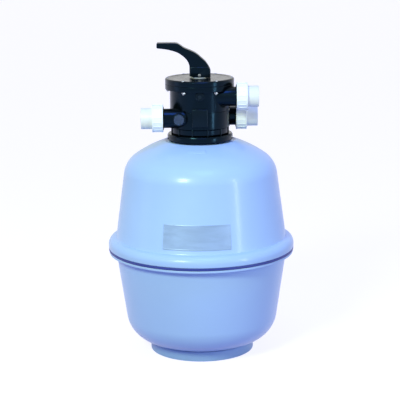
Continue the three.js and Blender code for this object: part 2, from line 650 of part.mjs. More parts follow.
function clampNut(hand) {
  const { radius, head, reach, nut, centre } = CLAMP_SCREW;
  const x = hand * centre;
  const start = reach + GAP;
  const outside = rod(head, [x, start, 0], [x, start + nut, 0], HEX_SIDES);
  return carve(outside, rod(radius + GAP, [x, start - 1, 0], [x, start + nut + 1, 0], TINY_SIDES));
}

// ---------------------------------------------------------------- valve
const PORTS = {
  pump: { ...PUMP_PORT, z: PUMP_Z },
  return: { ...RETURN_PORT, z: RETURN_Z },
  waste: { ...WASTE_PORT, z: WASTE_Z },
};
const SECTOR_OF = { return: 30, bottom: 90, waste: 210, pump: 270 };
const OPEN_SECTORS = [150, 270, 330];

/** The outside of a port: a neck ending in the thread that its union nut runs on. */
function portNeck({ side, y, z }) {
  return weld(
    rod(PORT_RADIUS, [side * PORT_ROOT, y, z], [side * (PORT_REACH - 1), y, z]),
    rod(THREAD_RADIUS, [side * (PORT_REACH - THREAD_LENGTH), y, z], [side * PORT_REACH, y, z]),
  );
}

/** The way through a port, and the groove in its end face for the union's ring. */
function portCuts({ side, y, z }, depth) {
  const { radius, section, groove } = UNION_SEAL;
  const face = side * PORT_REACH;
  const floor = face - side * groove;
  const past = face + side;
  const ring = carve(
    rod(radius + section + TURN_GAP, [floor, y, z], [past, y, z]),
    rod(radius - section - TURN_GAP, [floor - side, y, z], [past + side, y, z]),
  );
  return [rod(PORT_BORE, [side * depth, y, z], [past, y, z]), ring];
}

function valveBody() {
  const flangeTop = GAP + VALVE_FLANGE_THICKNESS;
  const ribBottom = flangeTop + CLAMP_LIP + TURN_GAP;
  const { depth, start, width, slope } = BODY_GROOVE;
  const grooveBottom = DECK_BOTTOM - start;
  const outside = turned([
    [0, GAP],
    [NECK_FLANGE_RADIUS, GAP],
    [NECK_FLANGE_RADIUS, flangeTop],
    [SKIRT_RADIUS, flangeTop],
    [SKIRT_RADIUS, ribBottom],
    [SHOULDER_RADIUS, ribBottom + SHOULDER.rise],
    [SHOULDER_RADIUS, SKIRT_HEIGHT - SHOULDER.drop],
    [BODY_RADIUS, SKIRT_HEIGHT],
    [BODY_RADIUS, grooveBottom],
    [BODY_RADIUS - depth, grooveBottom + slope],
    [BODY_RADIUS - depth, grooveBottom + width - slope],
    [BODY_RADIUS, grooveBottom + width],
    [BODY_RADIUS, BODY_TOP - BODY_FLANGE],
    [COVER_RADIUS, BODY_TOP - BODY_FLANGE],
    [COVER_RADIUS, BODY_TOP],
    [0, BODY_TOP],
  ]);
  const ribs = angles(RIB.count, RIB.first).map((turn) =>
    block([SKIRT_BORE + 1, BODY_RADIUS], [-RIB.halfWidth, RIB.halfWidth], [ribBottom, SKIRT_HEIGHT + 1])
      .rotateZ(radians(turn)));
  const centreTube = upright(CENTRE_TUBE.radius, 0, 0, -CENTRE_TUBE.drop, DECK_BOTTOM);
  const pad = block([-PAD.halfWidth, PAD.halfWidth], [-PAD.front, 0], [PAD.bottom, PAD.top]);
  const sightBoss = rod(SIGHT.radius, [SIGHT.x, -SIGHT.root, WASTE_Z], [SIGHT.x, -SIGHT.face, WASTE_Z]);
  const plugBoss = rod(PLUG.boss, [0, -PLUG.root, PLUG.z], [0, -PLUG.face, PLUG.z]);
  const solid = weld(
    outside,
    centreTube,
    ...ribs,
    ...Object.values(PORTS).map(portNeck),
    pad,
    sightBoss,
    plugBoss,
  );

  const halfSector = SECTOR_ANGLE / 2;
  const sectorInset = Math.asin(SECTOR_WALL / 2 / CENTRE_TUBE.radius) / radians(1);
  const halfCut = halfSector - sectorInset * SECTOR_TRIM;
  const chamber = upright(CHAMBER_RADIUS, 0, 0, DECK_TOP, BODY_TOP + 1, VALVE_SIDES);
  const sectors = angles(SECTORS, halfSector).map((turn) =>
    wedge(CENTRE_TUBE.radius, CHAMBER_RADIUS, turn, halfCut, SKIRT_HEIGHT, DECK_BOTTOM));
  const mouths = OPEN_SECTORS.map((turn) =>
    wedge(CENTRE_TUBE.radius, SKIRT_BORE, turn, halfCut, GAP - 1, SKIRT_HEIGHT + 1));
  const hollowFloors = [SECTOR_OF.return, SECTOR_OF.bottom, SECTOR_OF.waste].map((turn) =>
    wedge(CENTRE_TUBE.radius, SKIRT_BORE, turn, halfCut, GAP - 1, SKIRT_HEIGHT - SECTOR_FLOOR));
  const windows = angles(SECTORS, halfSector).map((turn) =>
    wedge(WINDOW.inner, WINDOW.outer, turn, WINDOW.halfAngle, DECK_BOTTOM - 1, DECK_TOP + 1));
  const roof = DECK_BOTTOM - CENTRE_TUBE.roof;
  const pipeBore = upright(PIPE.radius + GAP + TURN_GAP, 0, 0, -CENTRE_TUBE.drop - 1, roof);
  const bottomWay = block(
    [-BOTTOM_WAY.halfWidth, BOTTOM_WAY.halfWidth],
    [BOTTOM_WAY.inner, BOTTOM_WAY.outer],
    [SKIRT_HEIGHT + BOTTOM_WAY.above, DECK_BOTTOM - BOTTOM_WAY.below],
  );
  const pivotFloor = DECK_TOP - ROTOR.pivotDepth - GAP;
  const pivot = upright(ROTOR.pivot + TURN_GAP, 0, 0, pivotFloor, DECK_TOP + 1);
  const sealRoom = COVER_SEAL.radius + COVER_SEAL.section + TURN_GAP;
  const coverGroove = upright(
    sealRoom, 0, 0, BODY_TOP - 2 * COVER_SEAL.section - GAP, BODY_TOP + 1, VALVE_SIDES);
  const screwHoles = angles(SECTORS).map((turn) =>
    upright(SCREW.radius + GAP, ...around(BOLT_CIRCLE, turn),
      BODY_TOP - BODY_FLANGE - 1, BODY_TOP + 1, TINY_SIDES));
  const sightStart = [SIGHT.x, -SIGHT.boreStart, WASTE_Z];
  const sightBore = rod(SIGHT.bore, sightStart, [SIGHT.x, -SIGHT.face - 1, WASTE_Z]);
  const plugStart = [0, -PLUG.boreStart, PLUG.z];
  const plugBore = rod(PLUG.thread + TURN_GAP, plugStart, [0, -PLUG.face - 1, PLUG.z], TINY_SIDES);
  return carve(
    solid,
    chamber,
    ...sectors,
    ...mouths,
    ...hollowFloors,
    ...windows,
    pipeBore,
    bottomWay,
    pivot,
    coverGroove,
    ...screwHoles,
    ...portCuts(PORTS.pump, PORT_DEPTH),
    ...portCuts(PORTS.return, PORT_DEPTH),
    ...portCuts(PORTS.waste, PORT_DEPTH),
    sightBore,
    plugBore,
  );
}

function spiderGasket() {
  const top = GASKET_BOTTOM + GASKET_THICKNESS;
  const disc = tube(WINDOW.inner - GASKET_MARGIN, WINDOW.outer + GASKET_MARGIN, GASKET_BOTTOM, top);
  const windows = angles(SECTORS, SECTOR_ANGLE / 2).map((turn) =>
    wedge(WINDOW.inner, WINDOW.outer, turn, WINDOW.halfAngle, GASKET_BOTTOM - 1, top + 1));
  return carve(disc, ...windows);
}

function rotor() {
  const humpCentre = (SECTOR_OF.return + SECTOR_OF.bottom) / 2;
  const inner = WINDOW.inner - ROTOR.skin;
  const outer = WINDOW.outer + ROTOR.skin;
  const spread = ROTOR.spread;
  const disc = upright(ROTOR.radius, 0, 0, ROTOR_BOTTOM, ROTOR_TOP, VALVE_SIDES);
  const humpTop = ROTOR_TOP + ROTOR.hump;
  const hump = wedge(inner, outer, humpCentre, spread + ROTOR.lap, ROTOR_BOTTOM + 1, humpTop);
  const pocketTop = humpTop - ROTOR.skin;
  const pocket = wedge(WINDOW.inner, WINDOW.outer, humpCentre, spread, ROTOR_BOTTOM - 1, pocketTop);
  const way = wedge(
    WINDOW.inner, WINDOW.outer, SECTOR_OF.pump, WINDOW.halfAngle, ROTOR_BOTTOM - 1, ROTOR_TOP + 1);
  const pivotEnd = DECK_TOP - ROTOR.pivotDepth;
  const stem = turned([
    [0, pivotEnd],
    [ROTOR.pivot, pivotEnd],
    [ROTOR.pivot, ROTOR_BOTTOM + 1],
    [SPRING_SEAT.radius, ROTOR_BOTTOM + 1],
    [SPRING_SEAT.radius, ROTOR_TOP + SPRING_SEAT.height],
    [STEM_RADIUS, ROTOR_TOP + SPRING_SEAT.height],
    [STEM_RADIUS, PIN_Z + STEM_ABOVE_PIN],
    [0, PIN_Z + STEM_ABOVE_PIN],
  ], SMALL_SIDES);
  const past = 2 * STEM_RADIUS;
  const pinHole = rod(PIN.radius + GAP, [0, -past, PIN_Z], [0, past, PIN_Z], TINY_SIDES);
  return carve(weld(disc, hump, stem), pocket, way, pinHole);
}

/** A helix with its ends drawn flat, as one swept wire. */
function stemSpring() {
  const bottom = ROTOR_TOP + SPRING.wire / 2 + GAP;
  const top = HUB_BOTTOM - GAP - SPRING_WASHER.thickness - GAP - SPRING.wire / 2;
  class Coil extends THREE.Curve {
    getPoint(t, target = new THREE.Vector3()) {
      const turn = 2 * Math.PI * SPRING.turns * t;
      const rise = bottom + (top - bottom) * t;
      return target.set(SPRING.radius * Math.cos(turn), SPRING.radius * Math.sin(turn), rise);
    }
  }
  const section = new THREE.Shape();
  section.absarc(0, 0, SPRING.wire / 2, 0, 2 * Math.PI, false);
  const steps = SPRING.turns * SPRING.stepsPerTurn;
  const sweep = { steps, extrudePath: new Coil(), curveSegments: SPRING.sides };
  return new THREE.ExtrudeGeometry(section, sweep);
}

const springWasher = () =>
  tube(STEM_RADIUS + TURN_GAP, SPRING_WASHER.radius, HUB_BOTTOM - GAP - SPRING_WASHER.thickness,
    HUB_BOTTOM - GAP, SMALL_SIDES);

function valveCover() {
  const bore = STEM_RADIUS + TURN_GAP;
  const plug = CHAMBER_RADIUS - COVER_CLEARANCE;
  const roof = COVER_TOP - COVER_SKIN;
  const grooveOut = STEM_SEAL.radius + STEM_SEAL.section + TURN_GAP;
  const sealZ = (HUB_BOTTOM + COVER_TOP) / 2;
  const grooveHalf = STEM_SEAL.section + TURN_GAP;
  const disc = turned([
    [bore, HUB_BOTTOM],
    [COVER_HUB.radius, HUB_BOTTOM],
    [COVER_HUB.radius, roof],
    [plug - COVER_RIM, roof],
    [plug - COVER_RIM, COVER_BOTTOM - COVER_PLUG],
    [plug, COVER_BOTTOM - COVER_PLUG],
    [plug, COVER_BOTTOM],
    [COVER_RADIUS, COVER_BOTTOM],
    [COVER_RADIUS, COVER_TOP - COVER_CHAMFER],
    [COVER_RADIUS - COVER_CHAMFER, COVER_TOP],
    [bore, COVER_TOP],
    [bore, sealZ + grooveHalf],
    [grooveOut, sealZ + grooveHalf],
    [grooveOut, sealZ - grooveHalf],
    [bore, sealZ - grooveHalf],
  ]);
  const holes = angles(SECTORS).flatMap((turn) => {
    const [x, y] = around(BOLT_CIRCLE, turn);
    const pocketFloor = COVER_TOP - SCREW.sunk - GAP;
    return [
      upright(SCREW.radius + GAP, x, y, COVER_BOTTOM - 1, COVER_TOP + 1, TINY_SIDES),
      upright(SCREW.head + GAP, x, y, pocketFloor, COVER_TOP + 1, TINY_SIDES),
    ];
  });
  return carve(disc, ...holes);
}

function coverScrew(turn) {
  const seat = COVER_TOP - SCREW.sunk;
  const end = BODY_TOP - BODY_FLANGE - SCREW.below;
  const [x, y] = around(BOLT_CIRCLE, turn);
  return turned([
    [0, end],
    [SCREW.radius, end],
    [SCREW.radius, seat],
    [SCREW.head, seat],
    [SCREW.head, seat + SCREW.headHeight],
    [0, seat + SCREW.headHeight],
  ], TINY_SIDES).translate(x, y, 0);
}

function coverNut(turn) {
  const top = BODY_TOP - BODY_FLANGE - GAP;
  const [x, y] = around(BOLT_CIRCLE, turn);
  const outside = upright(NUT_CORNER, x, y, top - NUT_THICKNESS, top, HEX_SIDES);
  const bore = upright(SCREW.radius + GAP, x, y, top - NUT_THICKNESS - 1, top + 1, TINY_SIDES);
  return carve(outside, bore);
}

/** The selector handle: a cam foot across the stem and an arm swept over to a flat grip. */
function lever() {
  const foot = LEVER_BOTTOM;
  const relief = Math.tan(radians(LEVER.relief)) * (LEVER.left - LEVER.heel);
  const lifted = (points) => points.map(([x, height]) => new THREE.Vector2(x, foot + height));
  const { x: tip, round, top, bottom } = LEVER_TIP;
  const arm = new THREE.Shape();
  arm.moveTo(-LEVER.heel, foot);
  arm.lineTo(LEVER.right, foot);
  arm.lineTo(...lifted(LEVER_BACK)[0]);
  arm.splineThru([...lifted(LEVER_BACK).slice(1), new THREE.Vector2(tip + round, foot + top)]);
  arm.lineTo(tip, foot + top - round);
  arm.lineTo(tip, foot + bottom + round);
  arm.lineTo(tip + round, foot + bottom);
  arm.splineThru([...lifted(LEVER_UNDER), new THREE.Vector2(-LEVER.left, foot + LEVER.baseTop)]);
  arm.lineTo(-LEVER.left, foot + relief);
  arm.closePath();
  const upRightY = (shape, halfWidth) =>
    new THREE.ExtrudeGeometry(shape, { depth: 2 * halfWidth, bevelEnabled: false, curveSegments: 2 })
      .rotateX(Math.PI / 2)
      .translate(0, halfWidth, 0);
  const { across, down } = LEVER_CHAMFER;
  const left = LEVER.baseInset - LEVER.left;
  const right = LEVER.right - LEVER.baseInset;
  const base = new THREE.Shape();
  base.moveTo(-LEVER.heel, foot);
  base.lineTo(right, foot);
  base.lineTo(right, foot + LEVER.baseTop - down);
  base.lineTo(right - across, foot + LEVER.baseTop);
  base.lineTo(left + across, foot + LEVER.baseTop);
  base.lineTo(left, foot + LEVER.baseTop - down);
  base.lineTo(left, foot + relief);
  base.closePath();
  const slot = block(
    [-SLOT.halfLength, SLOT.halfLength],
    [-SLOT.halfWidth, SLOT.halfWidth],
    [foot - 1, PIN_Z + SLOT.top],
  );
  const halfPin = LEVER.baseWidth / 2 + 2;
  const pinHole = rod(PIN.radius + GAP, [0, -halfPin, PIN_Z], [0, halfPin, PIN_Z]);
  return carve(
    weld(upRightY(arm, LEVER.width / 2), upRightY(base, LEVER.baseWidth / 2)),
    slot,
    pinHole,
  );
}

const leverPin = () =>
  rod(PIN.radius, [0, -PIN.length / 2, PIN_Z], [0, PIN.length / 2, PIN_Z], TINY_SIDES);

function sightGlass() {
  const { x, bore, glass, face, thickness, depth } = SIGHT;
  const seat = -face - GAP;
  const inside = rod(bore - TURN_GAP, [x, depth - face, WASTE_Z], [x, -face - 1, WASTE_Z]);
  const flange = rod(glass, [x, seat, WASTE_Z], [x, seat - thickness, WASTE_Z]);
  return weld(inside, flange);
}

function gaugePlug() {
  const { z, face, thread, hex, head, depth } = PLUG;
  const start = [0, -face - GAP, z];
  return weld(
    rod(hex, start, [0, -face - GAP - head, z], HEX_SIDES),
    rod(thread, [0, -face + depth, z], [0, -face - 1, z], TINY_SIDES),
  );
}

// ---------------------------------------------------------------- unions, along +X from the valve
function unionNut() {
  const { radius, start, end } = UNION_NUT;
  const shoulder = PORT_REACH + GAP + TAIL_FLANGE + GAP;
  const body = rod(radius, [start, 0, 0], [end, 0, 0]);
  const thread = rod(THREAD_RADIUS + THREAD_CLEARANCE, [start - 1, 0, 0], [shoulder, 0, 0]);
  const mouth = rod(SOCKET.bore + SOCKET.wall + TURN_GAP + GAP, [start, 0, 0], [end + 1, 0, 0]);
  return carve(body, thread, mouth);
}

function tailpiece() {
  const face = PORT_REACH + GAP;
  const flangeEnd = face + TAIL_FLANGE;
  return carve(
    weld(
      rod(THREAD_RADIUS, [face, 0, 0], [flangeEnd, 0, 0]),
      rod(SOCKET.bore + SOCKET.wall, [flangeEnd - 1, 0, 0], [SOCKET_END, 0, 0]),
    ),
    rod(PORT_BORE, [face - 1, 0, 0], [SOCKET_END, 0, 0]),
    rod(SOCKET.bore, [SOCKET_END - SOCKET.depth, 0, 0], [SOCKET_END + 1, 0, 0]),
  );
}

function unionRing() {
  const { radius, section } = UNION_SEAL;
  return torus(radius, section, 0, SMALL_SIDES)
    .rotateY(Math.PI / 2)
    .translate(PORT_REACH - section - TURN_GAP / 4, 0, 0);
}

// ---------------------------------------------------------------- the assembly
const filter = new THREE.Group();

const tank = new THREE.Group();
tank.add(
  piece("base_pedestal", pedestal(), BLUE),
  piece("tank_lower_shell", lowerShell(), BLUE),
  piece("tank_upper_shell", upperShell(), BLUE),
  piece("flange_seal", flangeSeal(), SEAL_BLUE),
  piece("rating_plate", ratingPlate(), GREY),
  piece("shoulder_badge", shoulderBadge(), BLUE),
  piece("drain_spigot", drainSpigot(), BLACK),
  piece("drain_cap", drainCap(), BLACK),
  piece("standpipe", standpipe(), WHITE),
  piece("lateral_hub", lateralHub(), WHITE),
  piece("sand_bed", sandBed(), SAND),
  piece("top_diffuser", topDiffuser(), WHITE),
);
angles(LATERAL.count, LATERAL.first).forEach((turn, i) => {
  tank.add(piece("lateral_" + (i + 1), lateral(turn), WHITE));
});
filter.add(tank);

const valve = new THREE.Group();
valve.position.z = SEAT_Z;
const neckSealZ = NECK_SEAL.section - NECK_SEAL.groove + GAP;
valve.add(
  piece("neck_oring", torus(NECK_SEAL.radius, NECK_SEAL.section, neckSealZ, TANK_SIDES), RUBBER),
  piece("clamp_half_front", clampHalf(-1), BLACK),
  piece("clamp_half_rear", clampHalf(1), BLACK),
  piece("valve_body", valveBody(), BLACK),
  piece("spider_gasket", spiderGasket(), RUBBER),
  piece("rotor", rotor(), BLACK),
  piece("stem_oring",
    torus(STEM_SEAL.radius, STEM_SEAL.section, (HUB_BOTTOM + COVER_TOP) / 2), RUBBER),
  piece("stem_spring", stemSpring(), STEEL),
  piece("spring_washer", springWasher(), STEEL),
  piece("valve_cover", valveCover(), BLACK),
  piece("cover_oring",
    torus(COVER_SEAL.radius, COVER_SEAL.section, BODY_TOP - COVER_SEAL.section, VALVE_SIDES), RUBBER),
  piece("lever", lever(), BLACK),
  piece("lever_pin", leverPin(), STEEL),
  piece("lever_washer",
    tube(STEM_RADIUS + TURN_GAP, WASHER.radius, COVER_TOP + GAP, COVER_TOP + GAP + WASHER.thickness,
      SMALL_SIDES), WHITE),
  piece("sight_glass", sightGlass(), CLEAR),
  piece("gauge_plug", gaugePlug(), BLACK),
);
for (const [name, hand] of [["left", -1], ["right", 1]]) {
  valve.add(piece("clamp_screw_" + name, clampScrew(hand), STEEL));
  valve.add(piece("clamp_nut_" + name, clampNut(hand), STEEL));
}
angles(SECTORS).forEach((turn, i) => {
  valve.add(piece("cover_screw_" + (i + 1), coverScrew(turn), STEEL));
  valve.add(piece("cover_nut_" + (i + 1), coverNut(turn), STEEL));
});
for (const [name, port] of Object.entries(PORTS)) {
  const union = new THREE.Group();
  union.position.set(0, port.y, port.z);
  union.rotation.z = port.side > 0 ? 0 : Math.PI;
  union.add(
    piece(name + "_union_nut", unionNut(), WHITE),
    piece(name + "_tailpiece", tailpiece(), WHITE),
    piece(name + "_union_oring", unionRing(), RUBBER),
  );
  valve.add(union);
}
filter.add(valve);

export default filter;
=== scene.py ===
"""Looks of a top-mount sand filter: a moulded two-shell tank, a lever valve and three pipe unions.

Every size is in metres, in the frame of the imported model: +Z up, the origin on the floor on the
tank's axis, -Y the front with the rating plate. Heights of the valve run from its seat on the neck.
"""

import logging
import math
from collections.abc import Callable, Iterable, Sequence
from dataclasses import dataclass, field
from enum import Enum

import bmesh
import bpy
from mathutils import Matrix, Vector


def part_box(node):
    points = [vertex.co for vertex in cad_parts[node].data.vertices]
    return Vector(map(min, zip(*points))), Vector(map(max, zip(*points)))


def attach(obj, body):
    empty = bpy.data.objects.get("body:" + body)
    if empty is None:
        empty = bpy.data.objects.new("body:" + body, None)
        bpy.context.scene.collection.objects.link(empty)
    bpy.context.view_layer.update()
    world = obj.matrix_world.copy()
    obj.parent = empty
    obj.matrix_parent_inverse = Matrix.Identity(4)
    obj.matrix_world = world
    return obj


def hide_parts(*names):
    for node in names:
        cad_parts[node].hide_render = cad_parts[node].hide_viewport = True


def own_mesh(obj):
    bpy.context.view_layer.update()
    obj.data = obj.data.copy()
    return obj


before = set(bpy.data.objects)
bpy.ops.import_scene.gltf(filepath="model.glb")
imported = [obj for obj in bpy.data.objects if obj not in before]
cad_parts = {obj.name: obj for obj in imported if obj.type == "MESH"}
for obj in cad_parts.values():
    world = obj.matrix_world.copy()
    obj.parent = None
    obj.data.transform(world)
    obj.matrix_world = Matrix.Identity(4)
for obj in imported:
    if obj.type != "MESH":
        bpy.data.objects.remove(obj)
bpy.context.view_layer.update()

LOG = logging.getLogger("sand_filter")
MM = 0.001
CLEARANCE = 0.3 * MM  # running gap round a screw, a pin or a head
PAST = 5 * MM  # how far a cut runs past the face that it opens
MERGE = 1e-7  # points closer than this are one
CREASE = 32.0  # degrees, past which an edge is kept crisp
RELIEF_CREASE = 50.0  # the same, on a thin plate with a relief
WHITE = (1.0, 1.0, 1.0, 1.0)
STRAIGHT = 0.02  # radians, under which a corner is too flat or too sharp to round
Point = tuple[float, float]
Corner = tuple[float, float, float]
Piece = bpy.types.Object
Shape = bmesh.types.BMesh
Socket = bpy.types.NodeSocket


class Axis(Enum):
    """The directions that a turned part can stand along."""

    RIGHT = (1.0, 0.0, 0.0)
    LEFT = (-1.0, 0.0, 0.0)
    FRONT = (0.0, -1.0, 0.0)
    BACK = (0.0, 1.0, 0.0)


# ------------------------------------------------------------------ outlines and meshes
def rounded(corners: Sequence[Corner], steps: int = 4) -> list[Point]:
    """Round the corners of a closed outline.

    Args:
        corners: (radius, height, fillet radius) of each corner, in order.
        steps: segments in each fillet.

    Returns:
        The outline's points, with each fillet as an arc.
    """
    points: list[Point] = []
    for i, (x, y, fillet) in enumerate(corners):
        here = Vector((x, y))
        before = Vector(corners[i - 1][:2]) - here
        after = Vector(corners[(i + 1) % len(corners)][:2]) - here
        if fillet <= 0 or min(before.length, after.length) < MERGE:
            points.append((x, y))
            continue
        before_length, after_length = before.length, after.length
        before.normalize()
        after.normalize()
        half = before.angle(after) / 2
        if half > math.pi / 2 - STRAIGHT or half < STRAIGHT:
            points.append((x, y))
            continue
        cut = min(fillet / math.tan(half), before_length * 0.49, after_length * 0.49)
        radius = cut * math.tan(half)
        centre = here + (before + after).normalized() * (radius / math.sin(half))
        start = here + before * cut - centre
        end = here + after * cut - centre
        first = math.atan2(start.y, start.x)
        sweep = math.remainder(math.atan2(end.y, end.x) - first, 2 * math.pi)
        for k in range(steps + 1):
            turn = first + sweep * k / steps
            points.append((centre.x + radius * math.cos(turn), centre.y + radius * math.sin(turn)))
    return points


def arc(centre: Point, radius: float, start: float, end: float, steps: int) -> list[Point]:
    """Points on an arc.

    Args:
        centre: the arc's centre.
        radius: its radius.
        start: first angle, in radians.
        end: last angle, in radians.
        steps: segments between them.

    Returns:
        The arc's points, both ends included.
    """
    turns = (start + (end - start) * i / steps for i in range(steps + 1))
    return [(centre[0] + radius * math.cos(t), centre[1] + radius * math.sin(t)) for t in turns]


def placed(axis: Axis, origin: Sequence[float] = (0.0, 0.0, 0.0)) -> Matrix:
    """The matrix that stands a part made along +Z on an origin, along an axis."""
    turn = Vector((0.0, 0.0, 1.0)).rotation_difference(Vector(axis.value)).to_matrix().to_4x4()
    return Matrix.Translation(Vector(origin)) @ turn


def revolve(mesh: Shape, outline: Sequence[Point], sides: int, place: Matrix) -> None:
    """Turn a closed outline about an axis into a closed body.

    Args:
        mesh: the mesh that the body is added to.
        outline: (radius, height) points; those at radius 0 become one pole.
        sides: segments round the axis.
        place: the matrix from the part's own +Z frame.
    """
    rings: list[list[bmesh.types.BMVert]] = []
    for radius, height in outline:
        if radius < 1e-6:
            rings.append([mesh.verts.new(place @ Vector((0, 0, height)))])
            continue
        turns = (2 * math.pi * i / sides for i in range(sides))
        spots = (Vector((radius * math.sin(t), -radius * math.cos(t), height)) for t in turns)
        rings.append([mesh.verts.new(place @ spot) for spot in spots])
    for lower, upper in zip(rings, rings[1:] + rings[:1]):
        if len(lower) == 1 and len(upper) == 1:
            continue
        for i in range(sides):
            j = (i + 1) % sides
            loop = [lower[i % len(lower)], lower[j % len(lower)]]
            loop += [upper[j % len(upper)], upper[i % len(upper)]]
            mesh.faces.new(list(dict.fromkeys(loop)))


def prism(
    mesh: Shape, outline: Sequence[Point], low: float, high: float, place: Matrix
) -> None:
    """Add a straight prism of a closed outline between two heights.

    Args:
        mesh: the mesh that the prism is added to.
        outline: (x, y) points in order.
        low: height of the lower face.
        high: height of the upper face.
        place: the matrix from the prism's own frame.
    """
    bottom = [mesh.verts.new(place @ Vector((x, y, low))) for x, y in outline]
    top = [mesh.verts.new(place @ Vector((x, y, high))) for x, y in outline]
    mesh.faces.new(list(reversed(bottom)))
    mesh.faces.new(top)
    for i in range(len(outline)):
        j = (i + 1) % len(outline)
        mesh.faces.new([bottom[i], bottom[j], top[j], top[i]])


def box_outline(half_x: float, half_y: float) -> list[Point]:
    """The corners of a centred rectangle."""
    return [(-half_x, -half_y), (half_x, -half_y), (half_x, half_y), (-half_x, half_y)]


def soft_block(
    mesh: Shape, size: Sequence[float], edge: float, place: Matrix, steps: int = 2
) -> None:
    """Add a box with rounded edges.

    Args:
        mesh: the mesh that the box is added to.
        size: the box's full size along x, y and z.
        edge: radius of its edges.
        place: the matrix that puts the box's centre in place.
        steps: segments in each edge.
    """
    lump = bmesh.new()
    bmesh.ops.create_cube(lump, size=1.0)
    bmesh.ops.scale(lump, vec=Vector(size), verts=lump.verts)
    bmesh.ops.bevel(
        lump, geom=lump.edges[:], offset=edge, segments=steps, affect="EDGES", profile=0.5
    )
    bmesh.ops.transform(lump, matrix=place, verts=lump.verts)
    part = bpy.data.meshes.new("lump")
    lump.to_mesh(part)
    lump.free()
    mesh.from_mesh(part)
    bpy.data.meshes.remove(part)


def new_object(name: str, mesh: Shape) -> Piece:
    """Turn a bmesh into a scene object with outward faces.

    Args:
        name: the object's name.
        mesh: its shape, which is freed.

    Returns:
        The object, at the origin.
    """
    bmesh.ops.remove_doubles(mesh, verts=mesh.verts, dist=MERGE)
    bmesh.ops.recalc_face_normals(mesh, faces=mesh.faces)
    data = bpy.data.meshes.new(name)
    mesh.to_mesh(data)
    mesh.free()
    thing = bpy.data.objects.new(name, data)
    bpy.context.scene.collection.objects.link(thing)
    return thing


def baked(thing: Piece) -> None:
    """Replace an object's mesh by its evaluated one and drop its modifiers.

    Args:
        thing: the object, whose modifiers are applied.
    """
    bpy.context.view_layer.update()
    evaluated = thing.evaluated_get(bpy.context.evaluated_depsgraph_get())
    data = bpy.data.meshes.new_from_object(evaluated)
    thing.modifiers.clear()
    old = thing.data
    thing.data = data
    bpy.data.meshes.remove(old)


def combine(
    whole: Piece, tools: Iterable[Piece], operation: str
) -> Piece:
    """Join tools to an object, or cut them from it, one after the other.

    Args:
        whole: the object that is changed.
        tools: closed objects, which are removed.
        operation: UNION, DIFFERENCE or INTERSECT.

    Returns:
        The changed object.
    """
    used = list(tools)
    for tool in used:
        step = whole.modifiers.new("combine", "BOOLEAN")
        step.operation = operation
        step.solver = "EXACT"
        step.object = tool
    baked(whole)
    for tool in used:
        data = tool.data
        bpy.data.objects.remove(tool)
        bpy.data.meshes.remove(data)
    return whole


def smooth(thing: Piece, crease: float = CREASE) -> None:
    """Shade an object smooth, with edges sharper than an angle in degrees kept crisp.

    Args:
        thing: the object.
        crease: degrees, past which an edge stays crisp.
    """
    data = thing.data
    shape = bmesh.new()
    shape.from_mesh(data)
    limit = math.radians(crease)
    for edge in shape.edges:
        edge.smooth = edge.is_manifold and edge.calc_face_angle(0.0) < limit
    for face in shape.faces:
        face.smooth = True
    shape.to_mesh(data)
    shape.free()


def spun(name: str, outline: Sequence[Point], sides: int, place: Matrix) -> Piece:
    """A closed outline turned about an axis, as a piece of its own.

    Args:
        name: the piece's name.
        outline: (radius, height) points.
        sides: segments round the axis.
        place: the matrix from the piece's own +Z frame.

    Returns:
        The piece as an object.
    """
    mesh = bmesh.new()
    revolve(mesh, outline, sides, place)
    return new_object(name, mesh)


# ------------------------------------------------------------------ Geometry Nodes
def ring_array() -> bpy.types.GeometryNodeTree:
    """Build the tree that repeats a template round the Z axis.

    Returns:
        A tree with the inputs Geometry, Count, First Angle, Step and Finish.
    """
    tree = bpy.data.node_groups.new("ring of copies", "GeometryNodeTree")
    face = tree.interface
    face.new_socket("Geometry", in_out="INPUT", socket_type="NodeSocketGeometry")
    face.new_socket("Count", in_out="INPUT", socket_type="NodeSocketInt")
    face.new_socket("First Angle", in_out="INPUT", socket_type="NodeSocketFloat")
    face.new_socket("Step", in_out="INPUT", socket_type="NodeSocketFloat")
    face.new_socket("Finish", in_out="INPUT", socket_type="NodeSocketMaterial")
    face.new_socket("Geometry", in_out="OUTPUT", socket_type="NodeSocketGeometry")
    nodes, links = tree.nodes, tree.links
    source = nodes.new("NodeGroupInput")
    points = nodes.new("GeometryNodePoints")
    index = nodes.new("GeometryNodeInputIndex")
    turn = nodes.new("ShaderNodeMath")
    turn.operation = "MULTIPLY_ADD"
    spin = nodes.new("ShaderNodeCombineXYZ")
    copies = nodes.new("GeometryNodeInstanceOnPoints")
    real = nodes.new("GeometryNodeRealizeInstances")
    paint = nodes.new("GeometryNodeSetMaterial")
    result = nodes.new("NodeGroupOutput")
    links.new(source.outputs["Count"], points.inputs["Count"])
    links.new(index.outputs[0], turn.inputs[0])
    links.new(source.outputs["Step"], turn.inputs[1])
    links.new(source.outputs["First Angle"], turn.inputs[2])
    links.new(turn.outputs[0], spin.inputs["Z"])
    links.new(points.outputs[0], copies.inputs["Points"])
    links.new(source.outputs["Geometry"], copies.inputs["Instance"])
    links.new(spin.outputs[0], copies.inputs["Rotation"])
    links.new(copies.outputs[0], real.inputs[0])
    links.new(real.outputs[0], paint.inputs["Geometry"])
    links.new(source.outputs["Finish"], paint.inputs["Material"])
    links.new(paint.outputs[0], result.inputs[0])
    return tree


